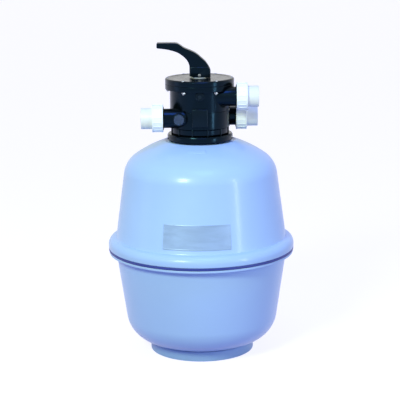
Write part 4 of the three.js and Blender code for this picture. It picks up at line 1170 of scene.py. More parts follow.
@dataclass
class NeckClamp:
    """The two half rings that hold the valve's flange down on the tank's neck."""

    radius: float = 92 * MM
    grip: float = 6.3 * MM
    lip: float = 3.2 * MM
    inner: float = 78 * MM
    bed: float = 82.1 * MM
    screw_x: float = 86.9 * MM
    shank: float = 2.5 * MM
    head: float = 4.1 * MM
    reach: float = 11 * MM
    head_length: float = 5 * MM

    def build(self) -> None:
        """Build the halves and their two screws and nuts."""
        for name, side in (("front", -1), ("rear", 1)):
            self._half(name, side)
        for name, hand in (("left", -1), ("right", 1)):
            self._screw(name, hand)
            self._nut(name, hand)

    def _half(self, name: str, side: int) -> None:
        """One half ring, with a pocket and a hole for each screw.

        Args:
            name: front or rear.
            side: -1 for the front, 1 for the rear.
        """
        height = self.grip + self.lip
        half = turned(
            f"clamp_{name}",
            [
                (self.inner, -height, 0.8 * MM),
                (self.radius - 2.2 * MM, -height, 0.9 * MM),
                (self.radius - 1.2 * MM, -height + 3 * MM, 1 * MM),
                (self.radius, -height + 3.4 * MM, 0.5 * MM),
                (self.radius, height - 3.4 * MM, 0.5 * MM),
                (self.radius - 1.2 * MM, height - 3 * MM, 1 * MM),
                (self.radius - 2.2 * MM, height, 0.9 * MM),
                (self.inner, height, 0.8 * MM),
                (self.inner, self.grip, 0.3 * MM),
                (self.bed, self.grip, 0.3 * MM),
                (self.bed, -self.grip, 0.3 * MM),
                (self.inner, -self.grip, 0.3 * MM),
            ],
            144,
        )
        far, joint = self.radius + 20 * MM, 0.15 * MM
        away = (-joint, far) if side < 0 else (-far, joint)
        cuts = [block((-far, far), away, (-far, far))]
        room = self.head + CLEARANCE
        for hand in (-1, 1):
            x = hand * self.screw_x
            ends = sorted((side * self.reach, side * (self.reach + self.head_length + 12 * MM)))
            across = (x - room, far) if hand > 0 else (-far, x + room)
            cuts.append(block(across, (ends[0], ends[1]), (-room, room)))
            hole = placed(Axis.BACK, (x, 0, SEAT))
            near, far_end = sorted((0.0, side * (self.reach + MM)))
            cuts.append(rod(self.shank + CLEARANCE, near, far_end, hole, 24))
        combine(half, cuts, "DIFFERENCE")
        finished(half, VALVE_BLACK, "valve_black", "root", f"clamp_half_{name}")

    def _screw(self, name: str, hand: int) -> None:
        """A cap screw across the joint, its head at the front.

        Args:
            name: left or right.
            hand: -1 for the left, 1 for the right.
        """
        place = placed(Axis.BACK, (hand * self.screw_x, 0, SEAT))
        foot = -self.reach - CLEARANCE
        socket, start = 2.2 * MM, foot - self.head_length
        screw = turned(
            f"clamp_screw_{name}_turned",
            [
                (0, start + 2.6 * MM, 0),
                (socket, start + 2.6 * MM, 0),
                (socket, start, 0.3 * MM),
                (self.head, start, 0.7 * MM),
                (self.head, foot, 0.3 * MM),
                (self.shank, foot, 0.2 * MM),
                (self.shank, self.reach + self.head_length, 0.5 * MM),
                (0, self.reach + self.head_length, 0),
            ],
            32,
            place,
        )
        finished(screw, STAINLESS, "stainless", "root", f"clamp_screw_{name}")

    def _nut(self, name: str, hand: int) -> None:
        """The hexagon nut at the back of a clamp screw.

        Args:
            name: left or right.
            hand: -1 for the left, 1 for the right.
        """
        place = placed(Axis.BACK, (hand * self.screw_x, 0, SEAT))
        start = self.reach + CLEARANCE
        nut = hex_nut(f"clamp_nut_{name}_hex", self.head, self.shank, start, start + 4 * MM, place)
        fit(nut, "root", f"clamp_nut_{name}")


def hex_nut(
    name: str, corner: float, bore: float, start: float, end: float, place: Matrix
) -> Piece:
    """A chamfered hexagon nut.

    Args:
        name: the nut's name.
        corner: radius to its corners.
        bore: radius of the screw that goes through it.
        start: its lower face along the placed axis.
        end: its upper face.
        place: the matrix from its own +Z frame.

    Returns:
        The nut, dressed in stainless.
    """
    flat = corner * math.cos(math.pi / 6)
    chamfer = (corner - flat) * 0.7
    nut = turned(
        name,
        [
            (bore + 0.25 * MM, start, 0.2 * MM),
            (flat, start, 0),
            (corner, start + chamfer, 0),
            (corner, end - chamfer, 0),
            (flat, end, 0),
            (bore + 0.25 * MM, end, 0.2 * MM),
        ],
        48,
        place,
        2,
    )
    mesh = bmesh.new()
    turns = [math.pi * i / 3 for i in range(6)]
    outline = [(corner * math.sin(turn), -corner * math.cos(turn)) for turn in turns]
    prism(mesh, outline, start - MM, end + MM, place)
    combine(nut, [new_object("hexagon", mesh)], "INTERSECT")
    smooth(nut)
    dress(nut, STAINLESS)
    return nut


@dataclass
class ValveBody:
    """The moulded body: flange, ribbed skirt, drum, three ports, pad and two bosses.

    shoulder is a radius and the heights between which it stands; window is the inner and outer
    radius of the deck's openings; pad is half its width, its front, its bottom and its top; sight
    and plug are each a boss's place, face, radius and bore; groove is the inner and outer radius
    and the depth of each port's seal groove; bottom_way is a box through the centre tube.
    """

    skirt: float = 77 * MM
    drum: float = 84 * MM
    flange: float = 97 * MM
    collar: float = 81.5 * MM
    shoulder: Sequence[float] = (81.5 * MM, 13.7 * MM, 27 * MM)
    collar_top: float = 6 * MM
    skirt_top: float = 30 * MM
    deck_bottom: float = 79 * MM
    deck_top: float = 84 * MM
    top: float = 150 * MM
    flange_height: float = 15 * MM
    chamber: float = 77 * MM
    tube: float = 30 * MM
    tube_drop: float = 12 * MM
    ribs: int = 12
    window: Point = (36 * MM, 66 * MM)
    window_half: float = 22.0
    sector_outer: float = 70.5 * MM
    sector_sweep: int = 60
    down_ways: Sequence[int] = (150, 270, 330)
    deep_floors: Sequence[int] = (30, 90, 210)
    bore: float = 25.8 * MM
    bottom_way: Sequence[Point] = (
        (-12 * MM, 12 * MM), (15 * MM, 34 * MM), (34 * MM, 73 * MM),
    )
    pivot: float = 8.5 * MM
    oring: float = 81.1 * MM
    groove: Sequence[float] = (26.4 * MM, 30.6 * MM, 3.4 * MM)
    bolt: float = 90 * MM
    screws: int = 6
    screw_hole: float = 3.1 * MM
    port_bore: float = 19 * MM
    port_neck: float = 27 * MM
    port_thread: float = 33.5 * MM
    port_reach: float = 116.5 * MM
    thread_length: float = 16 * MM
    thread_pitch: float = 2.8 * MM
    threads: int = 5
    pad: Sequence[float] = (21.5 * MM, 91.5 * MM, 38 * MM, 89 * MM)
    sight: Sequence[float] = (-58 * MM, 83 * MM, 18 * MM, 11.5 * MM)
    plug: Sequence[float] = (123 * MM, 87 * MM, 13 * MM, 7 * MM)

    @property
    def sight_place(self) -> Matrix:
        """The frame with +Z out of the front, through the sight glass."""
        return placed(Axis.FRONT, (self.sight[0], 0, WASTE.centre.z))

    @property
    def plug_place(self) -> Matrix:
        """The frame with +Z out of the front, through the gauge plug."""
        return placed(Axis.FRONT, (0, 0, SEAT + self.plug[0]))

    def build(self) -> None:
        """Build the body as one closed piece."""
        body = self._drum()
        combine(body, [self._skirt_ribs(), *self._necks(), *self._bosses()], "UNION")
        combine(body, self._passages(), "DIFFERENCE")
        combine(body, [*self._bores(), *self._screw_holes()], "DIFFERENCE")
        finished(body, VALVE_BLACK, "valve_black", "root", "valve_body")

    def _drum(self) -> Piece:
        """The turned outside, with the parting groove at the deck and the collar for the clamp.

        Returns:
            The solid outside of the body.
        """
        groove, under = 1.2 * MM, self.top - self.flange_height
        deck = self.deck_bottom
        shoulder, rise, fall = self.shoulder
        return turned(
            "moulded_body",
            [
                (0, 0.3 * MM, 0),
                (self.collar, 0.3 * MM, 0.5 * MM),
                (self.collar, self.collar_top, 0.5 * MM),
                (self.skirt, self.collar_top, 0.8 * MM),
                (self.skirt, rise - (shoulder - self.skirt), 0.8 * MM),
                (shoulder, rise, 0.8 * MM),
                (shoulder, fall, 1.2 * MM),
                (self.drum, self.skirt_top, 1.5 * MM),
                (self.drum, deck - 3 * MM, 0.4 * MM),
                (self.drum - groove, deck - 2.6 * MM, 0.2 * MM),
                (self.drum - groove, deck - 0.4 * MM, 0.2 * MM),
                (self.drum, deck, 0.4 * MM),
                (self.drum, under, 3 * MM),
                (self.flange, under, 1.5 * MM),
                (self.flange, self.top, 0.6 * MM),
                (0, self.top, 0),
            ],
            160,
        )

    def _skirt_ribs(self) -> Piece:
        """The ribs between the collar and the drum, as a ring of copies.

        Returns:
            The ribs as one object.
        """
        mesh = bmesh.new()
        bottom, top = self.collar_top + 3.9 * MM, self.skirt_top - 0.5 * MM
        middle = ((self.skirt + self.drum) / 2 - 2 * MM, 0, SEAT + (bottom + top) / 2)
        size = (self.drum - self.skirt + 3.5 * MM, 3.6 * MM, top - bottom)
        soft_block(mesh, size, 0.8 * MM, Matrix.Translation(middle))
        rib = new_object("rib", mesh)
        Ring(self.ribs, 15.0).spread(rib, VALVE_BLACK.material())
        return rib

    def _necks(self) -> list[Piece]:
        """The port necks, each ending in a threaded collar.

        Returns:
            One neck for each port.
        """
        necks = []
        for port in PORTS:
            thread = self.port_reach - self.thread_length
            neck, crest, root = self.port_neck, self.port_thread, self.port_thread - 1.5 * MM
            corners: list[Corner] = [(0, 38 * MM, 0), (neck, 38 * MM, 0)]
            corners += [(neck, thread, 1.5 * MM), (crest - 2 * MM, thread, 0.6 * MM)]
            for i in range(self.threads):
                start = thread + 0.8 * MM + i * self.thread_pitch
                corners += [(root, start, 0), (crest, start + 1 * MM, 0.3 * MM)]
                corners += [(crest, start + 1.6 * MM, 0.3 * MM), (root, start + 2.5 * MM, 0)]
            corners += [(root, self.port_reach, 0.4 * MM), (0, self.port_reach, 0)]
            necks.append(turned("neck", corners, 96, port.place, 3))
        return necks

    def _bosses(self) -> list[Piece]:
        """The centre tube, the pad at the front and the bosses for the sight glass and the plug.

        Returns:
            The parts that are joined to the drum.
        """
        half, front, bottom, top = self.pad
        _, sight_face, sight_radius, _ = self.sight
        _, plug_face, plug_radius, _ = self.plug
        sight = [(0, 40 * MM, 0), (sight_radius, 40 * MM, 0)]
        sight += [(sight_radius, sight_face, 1.2 * MM), (0, sight_face, 0)]
        plug = [(0, 60 * MM, 0), (plug_radius, 60 * MM, 0)]
        plug += [(plug_radius, plug_face, 1.2 * MM), (0, plug_face, 0)]
        return [
            upright(self.tube, -self.tube_drop, self.deck_bottom + 0.5 * MM),
            pillow((-half, half), (-front, -60 * MM), (bottom, top), 2.4 * MM),
            turned("sight_boss", sight, 64, self.sight_place),
            turned("plug_boss", plug, 64, self.plug_place),
        ]

    def _passages(self) -> list[Piece]:
        """The chamber over the deck and the six sectors with their windows under it.

        Returns:
            The tools that are cut from the body.
        """
        cuts = [upright(self.chamber, self.deck_top, self.top + PAST)]
        inset = math.degrees(math.asin(2 * MM / self.tube)) * 0.7
        half, room = self.sector_sweep / 2 - inset, 1 * MM
        first = self.sector_sweep // 2
        for turn in range(first, first + 360, self.sector_sweep):
            cuts.append(
                wedge(self.tube, self.chamber, turn, half, self.skirt_top, self.deck_bottom))
            window = (*self.window, turn, self.window_half)
            cuts.append(wedge(*window, self.deck_bottom - room, self.deck_top + room))
        for turn in self.down_ways:
            mouth = (self.tube, self.sector_outer, turn, half)
            cuts.append(wedge(*mouth, -2 * MM, self.skirt_top + room))
        for turn in self.deep_floors:
            floor = (self.tube, self.sector_outer, turn, half)
            cuts.append(wedge(*floor, -2 * MM, self.skirt_top - 5 * MM))
        return cuts

    def _bores(self) -> list[Piece]:
        """The ways through the centre tube, the ports and the bosses.

        Returns:
            The tools that are cut from the body.
        """
        cuts = [
            upright(self.bore, -self.tube_drop - PAST, self.deck_bottom - 4 * MM),
            block(*self.bottom_way),
            upright(self.pivot, self.deck_top - 4.3 * MM, self.deck_top + PAST),
            upright(self.oring, self.top - 3.1 * MM, self.top + PAST),
        ]
        for port in PORTS:
            cuts.append(rod(self.port_bore, 50 * MM, self.port_reach + PAST, port.place))
            inner, outer, depth = self.groove
            floor, mouth = self.port_reach - depth, self.port_reach + PAST
            ring = [(inner, floor, 0), (outer, floor, 0), (outer, mouth, 0), (inner, mouth, 0)]
            cuts.append(turned("groove", ring, 64, port.place))
        _, sight_face, _, sight_bore = self.sight
        _, plug_face, _, plug_bore = self.plug
        cuts.append(rod(sight_bore, 50 * MM, sight_face + PAST, self.sight_place, 48))
        cuts.append(rod(plug_bore, 70 * MM, plug_face + PAST, self.plug_place, 48))
        return cuts

    def _screw_holes(self) -> list[Piece]:
        """The holes for the cover's screws through the flange.

        Returns:
            The tools that are cut from the flange.
        """
        low_end, high_end = self.top - 2 * self.flange_height, self.top + PAST
        spots = around(self.bolt, self.screws)
        return [upright(self.screw_hole, low_end, high_end, x, y) for x, y in spots]


@dataclass
class ValveCover:
    """The cover with its counterbores, and the six screws and nuts that hold it down.

    hub and plug are each a radius and a drop under the cover's lower face.
    """

    radius: float = 97 * MM
    bottom: float = 150.3 * MM
    top: float = 166 * MM
    bore: float = 9.5 * MM
    hub: Point = (24 * MM, 4.3 * MM)
    plug: Point = (76.2 * MM, 6 * MM)
    roof: float = 7.5 * MM
    bolt: float = 90 * MM
    screws: int = 6
    shank: float = 2.8 * MM
    head: float = 5.2 * MM
    head_height: float = 4.5 * MM
    sunk: float = 3.7 * MM
    under: float = 135 * MM

    def build(self) -> None:
        """Build the cover, then its screws and nuts."""
        self._cover()
        self._screws()
        self._nuts()

    def _cover(self) -> None:
        """The cover: a rounded disc with a plug into the body and a hub round the stem."""
        hub, drop = self.hub
        plug, depth = self.plug
        roof, middle = self.top - self.roof, (self.bottom - drop + self.top) / 2
        cover = turned(
            "cover_disc",
            [
                (self.bore, self.bottom - drop, 0.4 * MM),
                (hub, self.bottom - drop, 0.6 * MM),
                (hub, roof, 1.5 * MM),
                (plug - 7 * MM, roof, 1.5 * MM),
                (plug - 7 * MM, self.bottom - depth, 0.5 * MM),
                (plug, self.bottom - depth, 0.6 * MM),
                (plug, self.bottom, 0.2 * MM),
                (self.radius, self.bottom, 0.6 * MM),
                (self.radius, self.top - 3.4 * MM, 1 * MM),
                (self.radius - 3 * MM, self.top, 2.4 * MM),
                (self.radius - 14 * MM, self.top, 0.4 * MM),
                (self.radius - 14.8 * MM, self.top - 0.6 * MM, 0.4 * MM),
                (31 * MM, self.top - 0.6 * MM, 0.4 * MM),
                (30.2 * MM, self.top, 0.4 * MM),
                (self.bore, self.top, 0.4 * MM),
                (self.bore, middle + 2 * MM, 0),
                (13 * MM, middle + 2 * MM, 0),
                (13 * MM, middle - 2 * MM, 0),
                (self.bore, middle - 2 * MM, 0),
            ],
            160,
        )
        cuts = []
        for x, y in around(self.bolt, self.screws):
            under, floor = self.bottom - 9 * MM, self.top - self.sunk - CLEARANCE
            cuts.append(upright(self.shank + CLEARANCE, under, self.top + PAST, x, y))
            cuts.append(upright(self.head + CLEARANCE, floor, self.top + PAST, x, y))
        combine(cover, cuts, "DIFFERENCE")
        finished(cover, VALVE_BLACK, "valve_black", "root", "valve_cover")

    def _screws(self) -> None:
        """The six cover screws as a ring of copies."""
        seat, end = self.top - self.sunk, self.under - 7.5 * MM
        crown = seat + self.head_height
        screw = turned(
            "cover_screws",
            [
                (0, end, 0),
                (self.shank, end, 0.6 * MM),
                (self.shank, seat, 0.3 * MM),
                (self.head, seat, 0.3 * MM),
                (self.head, crown, 1.4 * MM),
                (2.4 * MM, crown, 0.3 * MM),
                (2.4 * MM, crown - 2.4 * MM, 0),
                (0, crown - 2.4 * MM, 0),
            ],
            40,
            Matrix.Translation((self.bolt, 0, SEAT)),
        )
        Ring(self.screws).spread(screw, STAINLESS.material())
        finished(screw, STAINLESS, "stainless", "root", *numbered("cover_screw", self.screws))

    def _nuts(self) -> None:
        """The six nuts under the flange as a ring of copies."""
        top = self.under - CLEARANCE
        place = Matrix.Translation((self.bolt, 0, SEAT))
        nut = hex_nut("cover_nuts", self.head, self.shank, top - 4 * MM, top, place)
        Ring(self.screws).spread(nut, STAINLESS.material())
        finished(nut, STAINLESS, "stainless", "root", *numbered("cover_nut", self.screws))


@dataclass
class Handle:
    """The selector lever on its pin, over the wear washer.

    back and under are points along the arm's upper and lower edges, as (x, z) in millimetres from
    the foot; tip is the grip's end, its lower and upper edge from the foot, and its rounding.
    """

    foot: float = 167.8 * MM
    width: float = 34 * MM
    base_width: float = 44 * MM
    base_top: float = 30 * MM
    base_chamfer: Point = (5 * MM, 6 * MM)
    heel: float = 18.5 * MM
    left: float = 28 * MM
    right: float = 31 * MM
    relief: float = 22.0
    tip: Sequence[float] = (-119 * MM, 81.6 * MM, 96.3 * MM, 3 * MM)
    back: Sequence[Point] = (
        (31, 20), (26, 31), (18, 43), (7.5, 53), (-9, 67), (-26, 75.6), (-42.6, 82.8), (-52, 89.5),
        (-64, 95.6), (-90, 96.6),
    )
    under: Sequence[Point] = (
        (-93, 78.7), (-76, 74.8), (-59, 68.5), (-43, 57), (-33, 45.5), (-28.5, 34),
    )
    pin: float = 4 * MM
    pin_length: float = 43 * MM
    slot: Sequence[float] = (13.5 * MM, 9.6 * MM, 12 * MM)
    edge: float = 2.4 * MM

    @property
    def pin_height(self) -> float:
        """Height of the pin from the seat."""
        return (low("lever_pin").z + high("lever_pin").z) / 2 - SEAT

    def build(self) -> None:
        """Build the lever, the pin and the washer."""
        self._lever()
        pin = self.pin_length / 2
        across = placed(Axis.BACK, (0, 0, SEAT + self.pin_height))
        corners = [(0, -pin, 0), (self.pin, -pin, 0.6 * MM), (self.pin, pin, 0.6 * MM), (0, pin, 0)]
        shaft = turned("lever_pin_turned", corners, 40, across)
        finished(shaft, STAINLESS, "stainless", "diverter", "lever_pin")
        under, over = low("lever_washer").z - SEAT, high("lever_washer").z - SEAT
        inner, outer = 9.7 * MM, high("lever_washer").x
        ring = [(inner, under, 0.2 * MM), (outer, under, 0.2 * MM)]
        ring += [(outer, over, 0.3 * MM), (inner, over, 0.3 * MM)]
        washer = turned("wear_washer", ring, 96)
        finished(washer, PIPE_WHITE, "union_white", "root", "lever_washer")

    @staticmethod
    def _curve(points: Sequence[Point], steps: int = 4) -> list[Point]:
        """Points on a smooth curve through the points given.

        Args:
            points: what the curve passes through, in order.
            steps: segments between two of them.

        Returns:
            The curve's points, both ends included.
        """
        spots = [tuple(points[0])]
        for i in range(len(points) - 1):
            picks = (max(i - 1, 0), i, i + 1, min(i + 2, len(points) - 1))
            a, b, c, d = (Vector(points[k]) for k in picks)
            for k in range(1, steps + 1):
                t = k / steps
                bend = (2 * a - 5 * b + 4 * c - d) * t * t + (3 * b - a - 3 * c + d) * t**3
                spot = b + ((c - a) * t + bend) / 2
                spots.append((spot.x, spot.y))
        return spots

    def _slab(self, name: str, outline: Sequence[Point], half: float) -> Piece:
        """A slab of an XZ outline, centred on Y, with its long edges rounded.

        Args:
            name: the slab's name.
            outline: (x, z) points in order.
            half: half of its width along Y.

        Returns:
            The slab as an object.
        """
        mesh = bmesh.new()
        prism(mesh, outline, -half, half, Matrix.Rotation(math.pi / 2, 4, "X"))
        bmesh.ops.recalc_face_normals(mesh, faces=mesh.faces)
        edges = [e for e in mesh.edges if abs(e.verts[0].co.y - e.verts[1].co.y) < 1e-6]
        bmesh.ops.bevel(
            mesh, geom=edges, offset=self.edge, segments=4, affect="EDGES", profile=0.5,
            clamp_overlap=True)
        bmesh.ops.translate(mesh, vec=(0, 0, SEAT), verts=mesh.verts)
        return new_object(name, mesh)

    def _lever(self) -> None:
        """The lever: a cam foot across the stem, a swept arm and a flat grip."""
        foot, top = self.foot, self.foot + self.base_top
        heel, left, right = self.heel, self.left, self.right
        rise = math.tan(math.radians(self.relief)) * (left - heel)
        tip, low_edge, high_edge, turn = self.tip
        high_edge, low_edge = foot + high_edge, foot + low_edge
        back = [(x * MM, foot + z * MM) for x, z in self.back]
        under = [(x * MM, foot + z * MM) for x, z in self.under]
        outline = [(-heel, foot), (right, foot), back[0]]
        outline += self._curve([*back[1:], (tip + turn, high_edge)])
        outline += arc((tip + turn, high_edge - turn), turn, math.pi / 2, math.pi, 4)[1:]
        outline += arc((tip + turn, low_edge + turn), turn, math.pi, 3 * math.pi / 2, 4)[:-1]
        outline += self._curve([(tip + turn, low_edge), *under, (-left, top)])
        outline += [(-left, foot + rise)]
        lever = self._slab("lever_handle", outline, self.width / 2)
        side, down = self.base_chamfer
        outer, inner = right - MM, left - MM
        base = [
            (-heel, foot), (outer, foot), (outer, top - down), (outer - side, top),
            (side - inner, top), (-inner, top - down), (-inner, foot + rise)]
        combine(lever, [self._slab("base", base, self.base_width / 2)], "UNION")
        long, wide, over = self.slot
        room = block((-long, long), (-wide, wide), (foot - 5 * MM, self.pin_height + over))
        across = placed(Axis.BACK, (0, 0, SEAT + self.pin_height))
        hole = rod(self.pin + CLEARANCE, -40 * MM, 40 * MM, across, 40)
        combine(lever, [room, hole], "DIFFERENCE")
        finished(lever, VALVE_BLACK, "valve_black", "handle", "lever")


@dataclass
class Union:
    """The pipe union of one port: a nut and the tailpiece that it holds."""

    port: Port
    radius: float = 38.7 * MM
    start: float = 102.3 * MM
    end: float = 133 * MM
    thread: float = 34.4 * MM
    mouth: float = 30.2 * MM
    face: float = 116.8 * MM
    flange_end: float = 124.8 * MM
    flange: float = 33.5 * MM
    bore: float = 19 * MM
    socket: float = 25.2 * MM
    wall: float = 4.2 * MM
    depth: float = 28 * MM
    tip: float = 164 * MM
    grips: int = 18

    def build(self) -> None:
        """Build the nut and the tailpiece."""
        self._nut()
        self._tailpiece()

    def _nut(self) -> None:
        """The union nut, with grips round it between two plain bands."""
        name, shoulder = self.port.name, self.flange_end + CLEARANCE
        rim, root = self.radius, self.radius - 1.1 * MM
        nut = turned(
            f"{name}_nut",
            [
                (self.thread, self.start, 0.6 * MM),
                (rim, self.start, 1 * MM),
                (rim, self.start + 3.6 * MM, 0.4 * MM),
                (root, self.start + 4.2 * MM, 0.4 * MM),
                (root, self.end - 4.2 * MM, 0.4 * MM),
                (rim, self.end - 3.6 * MM, 0.4 * MM),
                (rim - 0.4 * MM, self.end, 1.6 * MM),
                (self.mouth, self.end, 0.5 * MM),
                (self.mouth, shoulder, 0.3 * MM),
                (self.thread, shoulder, 0.5 * MM),
            ],
            144,
            Matrix.Identity(4),
        )
        mesh = bmesh.new()
        length = self.end - self.start - 6 * MM
        middle = (rim - 1.1 * MM, 0, (self.start + self.end) / 2)
        soft_block(mesh, (2 * MM, 3.4 * MM, length), 0.8 * MM, Matrix.Translation(middle), 3)
        grip = new_object("grip", mesh)
        Ring(self.grips).spread(grip, UNION_WHITE.material())
        combine(nut, [grip], "UNION")
        nut.data.transform(self.port.place)
        finished(nut, UNION_WHITE, "union_white", f"{name}_nut", f"{name}_union_nut")

    def _tailpiece(self) -> None:
        """The tailpiece: a flange against the port and a socket for the pipe."""
        name, outer = self.port.name, self.socket + self.wall
        tail = turned(
            f"{name}_tail",
            [
                (self.bore, self.face, 0.4 * MM),
                (self.flange, self.face, 0.6 * MM),
                (self.flange, self.flange_end, 0.6 * MM),
                (outer, self.flange_end, 0.6 * MM),
                (outer, self.tip, 1.2 * MM),
                (self.socket, self.tip, 1 * MM),
                (self.socket, self.tip - self.depth, 0),
                (self.bore, self.tip - self.depth, 0.5 * MM),
            ],
            128,
            self.port.place,
        )
        finished(tail, PIPE_WHITE, "union_white", f"{name}_pipe_end", f"{name}_tailpiece")


@dataclass
class Fittings:
    """The sight glass at the waste port and the plug of the gauge port.

    sight is its place, face, radius, inner radius and thickness; plug is its height, face, corner
    radius, thread radius and head height.
    """

    sight: Sequence[float] = (-58 * MM, 83.3 * MM, 14.5 * MM, 11 * MM, 3 * MM)
    plug: Sequence[float] = (123 * MM, 87.3 * MM, 9.5 * MM, 6.5 * MM, 5 * MM)

    def build(self) -> None:
        """Build the two fittings."""
        x, face, radius, inner, thickness = self.sight
        place = placed(Axis.FRONT, (x, 0, WASTE.centre.z))
        front = face + thickness
        glass = turned(
            "sight_window",
            [
                (0, face - 8.2 * MM, 0),
                (inner, face - 8.2 * MM, 0.5 * MM),
                (inner, face, 0.2 * MM),
                (radius, face, 0.4 * MM),
                (radius, front, 1.2 * MM),
                (radius - 3 * MM, front, 0.3 * MM),
                (radius - 3.6 * MM, front - 0.6 * MM, 0.3 * MM),
                (0, front - 0.6 * MM, 0),
            ],
            72,
            place,
        )
        finished(glass, SIGHT_CLEAR, "sight_clear", "root", "sight_glass")
        z, seat, corner, thread, head = self.plug
        place = placed(Axis.FRONT, (0, 0, SEAT + z))
        plug = hex_nut("gauge_plug_hex", corner, thread - 1.5 * MM, seat, seat + head, place)
        stem = turned(
            "stem",
            [
                (0, seat - 12.2 * MM, 0),
                (thread, seat - 12.2 * MM, 0.6 * MM),
                (thread, seat + 1 * MM, 0),
                (thread, seat + head - 1 * MM, 0),
                (0, seat + head - 1 * MM, 0),
            ],
            48,
            place,
        )
        combine(plug, [stem], "UNION")
        finished(plug, VALVE_BLACK, "valve_black", "root", "gauge_plug")


@dataclass(frozen=True)
class Inside:
    """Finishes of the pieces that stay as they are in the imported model."""

    white: Sequence[str] = ("standpipe", "lateral_hub", "top_diffuser")
    rubber: Sequence[str] = ("neck_oring", "spider_gasket", "stem_oring", "cover_oring")
    steel: Sequence[str] = ("spring_washer",)
    laterals: int = 6

    def build(self) -> None:
        """Give each inner piece its material."""
        for name in (*self.white, *numbered("lateral", self.laterals)):
            self._coat(name, PIPE_WHITE)
        for name in (*self.rubber, *(f"{port.name}_union_oring" for port in PORTS)):
            self._coat(name, BLACK_RUBBER)
        for name in self.steel:
            self._coat(name, STAINLESS)
        self._coat("rotor", VALVE_BLACK)
        self._coat("sand_bed", SILICA)

    def _coat(self, name: str, finish: Finish) -> None:
        """Put one finish on every slot of a node.

        Args:
            name: the node's name.
            finish: the surface finish.
        """
        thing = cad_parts[name]
        for slot in thing.material_slots:
            slot.material = finish.material()
        LOG.info("%s is %s", name, finish.name)


@dataclass
class StemSpring:
    """The coil spring round the stem, built at rest; on the valve it shortens towards its upper end
    as the rotor lifts.
    """

    radius: float = 17 * MM
    wire: float = 1.7 * MM
    turns: float = 4.5
    steps: int = 28
    sides: int = 12
    lift: float = 6.1 * MM

    def build(self) -> None:
        """Build the coil at rest."""
        bottom, top = low("stem_spring").z + self.wire, high("stem_spring").z - self.wire
        mesh = bmesh.new()
        rings = []
        count = round(self.turns * self.steps)
        for i in range(count + 1):
            turn = 2 * math.pi * self.turns * i / count
            out = Vector((math.cos(turn), math.sin(turn), 0))
            centre = out * self.radius + Vector((0, 0, bottom + (top - bottom) * i / count))
            ring = []
            for k in range(self.sides):
                angle = 2 * math.pi * k / self.sides
                spot = out * math.cos(angle) + Vector((0, 0, math.sin(angle)))
                ring.append(mesh.verts.new(centre + spot * self.wire))
            rings.append(ring)
        for first, second in zip(rings, rings[1:]):
            for k in range(self.sides):
                after = (k + 1) % self.sides
                mesh.faces.new((first[k], first[after], second[after], second[k]))
        mesh.faces.new(rings[0])
        mesh.faces.new(rings[-1])
        bmesh.ops.recalc_face_normals(mesh, faces=mesh.faces)
        spring = new_object("coil_spring", mesh)
        finished(spring, STAINLESS, "stainless", "selector", "stem_spring")
        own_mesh(spring)


# ------------------------------------------------------------------ studio
@dataclass(frozen=True)
class Lamp:
    """A soft rectangular lamp aimed at a point."""

    name: str
    place: Sequence[float]
    target: Sequence[float]
    size: Point
    power: float
    tint: tuple[int, int, int] = (255, 255, 255)

    def hang(self) -> None:
        """Add the lamp to the scene."""
        light = bpy.data.lights.new(self.name, "AREA")
        light.shape = "RECTANGLE"
        light.size, light.size_y = self.size
        light.energy = self.power
        light.color = linear(*self.tint)[:3]
        thing = bpy.data.objects.new(self.name, light)
        thing.location = self.place
        aim = Vector(self.target) - Vector(self.place)
        thing.rotation_euler = aim.to_track_quat("-Z", "Y").to_euler()
        bpy.context.scene.collection.objects.link(thing)


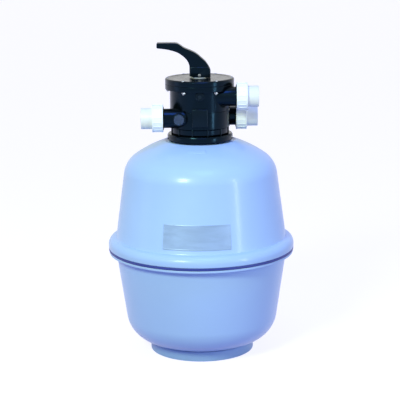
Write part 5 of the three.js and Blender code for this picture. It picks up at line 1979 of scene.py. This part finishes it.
@dataclass
class Studio:
    """The camera, the pale floor, the white surroundings and the lamps."""

    eye: Sequence[float] = (0.0, -4.0, 1.318)
    pitch: float = 12.46
    roll: float = -0.573
    lens: float = 129.2
    shift: float = -0.0019
    surroundings: float = 0.5
    surroundings_shade: tuple[int, int, int] = (220, 232, 255)
    sensor: float = 36.0
    floor_size: float = 24.0
    floor_shade: tuple[int, int, int] = (140, 136, 186)
    floor_glow: float = 0.84
    lamps: Sequence[Lamp] = (
        Lamp("key", (-1.4, -2.8, 2.3), (0, 0, 0.5), (0.8, 0.8), 92, (238, 255, 208)),
        Lamp("strip", (1.65, -1.35, 0.8), (0, 0, 0.5), (0.22, 1.4), 13, (232, 246, 240)),
        Lamp("top", (0.2, -1.0, 2.5), (0, 0, 0.6), (0.8, 0.8), 22, (96, 142, 255)),
        Lamp("side", (-2.6, -0.4, 1.0), (0, 0, 0.4), (0.8, 1.8), 4, (205, 220, 255)),
    )

    def set_up(self) -> None:
        """Make the whole studio."""
        self._camera()
        self._floor()
        self._world()
        for lamp in self.lamps:
            lamp.hang()
        bpy.context.scene.view_settings.view_transform = "Standard"

    def _camera(self) -> None:
        """The camera in front, above the tank and a little rolled."""
        data = bpy.data.cameras.new("camera")
        data.lens = self.lens
        data.sensor_width = self.sensor
        data.shift_x = self.shift
        camera = bpy.data.objects.new("camera", data)
        camera.location = self.eye
        tilt = Matrix.Rotation(math.radians(90 - self.pitch), 4, "X")
        roll = Matrix.Rotation(math.radians(self.roll), 4, "Z")
        camera.rotation_euler = (tilt @ roll).to_euler()
        bpy.context.scene.collection.objects.link(camera)
        bpy.context.scene.camera = camera

    def _floor(self) -> None:
        """A wide pale floor, which reads as plain white to the eye and to reflections."""
        mesh = bmesh.new()
        bmesh.ops.create_grid(mesh, x_segments=1, y_segments=1, size=self.floor_size)
        floor = new_object("floor", mesh)
        made = bpy.data.materials.new("pale floor")
        made.use_nodes = True
        nodes, links = made.node_tree.nodes, made.node_tree.links
        shader = nodes["Principled BSDF"]
        shader.inputs["Base Color"].default_value = linear(*self.floor_shade)
        shader.inputs["Roughness"].default_value = 0.9
        shader.inputs["Specular IOR Level"].default_value = 0.1
        white = nodes.new("ShaderNodeEmission")
        white.inputs["Color"].default_value = WHITE
        white.inputs["Strength"].default_value = self.floor_glow
        pale = nodes.new("ShaderNodeAddShader")
        links.new(shader.outputs[0], pale.inputs[0])
        links.new(white.outputs[0], pale.inputs[1])
        mix = nodes.new("ShaderNodeMixShader")
        links.new(self._seen(nodes, links), mix.inputs[0])
        links.new(shader.outputs[0], mix.inputs[1])
        links.new(pale.outputs[0], mix.inputs[2])
        links.new(mix.outputs[0], nodes["Material Output"].inputs["Surface"])
        floor.data.materials.append(made)

    def _world(self) -> None:
        """Soft surroundings that look white and light the tank at a plain level."""
        world = bpy.data.worlds.new("surroundings")
        bpy.context.scene.world = world
        world.use_nodes = True
        nodes, links = world.node_tree.nodes, world.node_tree.links
        dim = nodes["Background"]
        dim.inputs["Color"].default_value = linear(*self.surroundings_shade)
        dim.inputs["Strength"].default_value = self.surroundings
        bright = nodes.new("ShaderNodeBackground")
        bright.inputs["Color"].default_value = WHITE
        bright.inputs["Strength"].default_value = 1.0
        mix = nodes.new("ShaderNodeMixShader")
        links.new(self._seen(nodes, links), mix.inputs[0])
        links.new(dim.outputs[0], mix.inputs[1])
        links.new(bright.outputs[0], mix.inputs[2])
        links.new(mix.outputs[0], nodes["World Output"].inputs["Surface"])

    @staticmethod
    def _seen(nodes: bpy.types.Nodes, links: bpy.types.NodeLinks) -> Socket:
        """1 for rays straight from the camera, off gloss and through glass, 0 for the rest.

        Args:
            nodes: the tree's nodes.
            links: the tree's links.

        Returns:
            The socket that holds the value.
        """
        rays = nodes.new("ShaderNodeLightPath")
        total = None
        for name in ("Is Glossy Ray", "Is Transmission Ray"):
            step = nodes.new("ShaderNodeMath")
            step.operation = "MAXIMUM"
            links.new(total or rays.outputs["Is Camera Ray"], step.inputs[0])
            links.new(rays.outputs[name], step.inputs[1])
            total = step.outputs[0]
        return total


def main() -> None:
    """Build the sub-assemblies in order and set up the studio."""
    logging.basicConfig(level=logging.INFO, format="%(message)s")
    assemblies = (
        Tank(), NeckClamp(), ValveBody(), ValveCover(), Handle(),
        *(Union(port) for port in PORTS), Fittings(), Inside(), StemSpring(),
    )
    for assembly in assemblies:
        LOG.info("building %s", type(assembly).__name__)
        assembly.build()
    Studio().set_up()


if __name__ == "__main__":
    main()
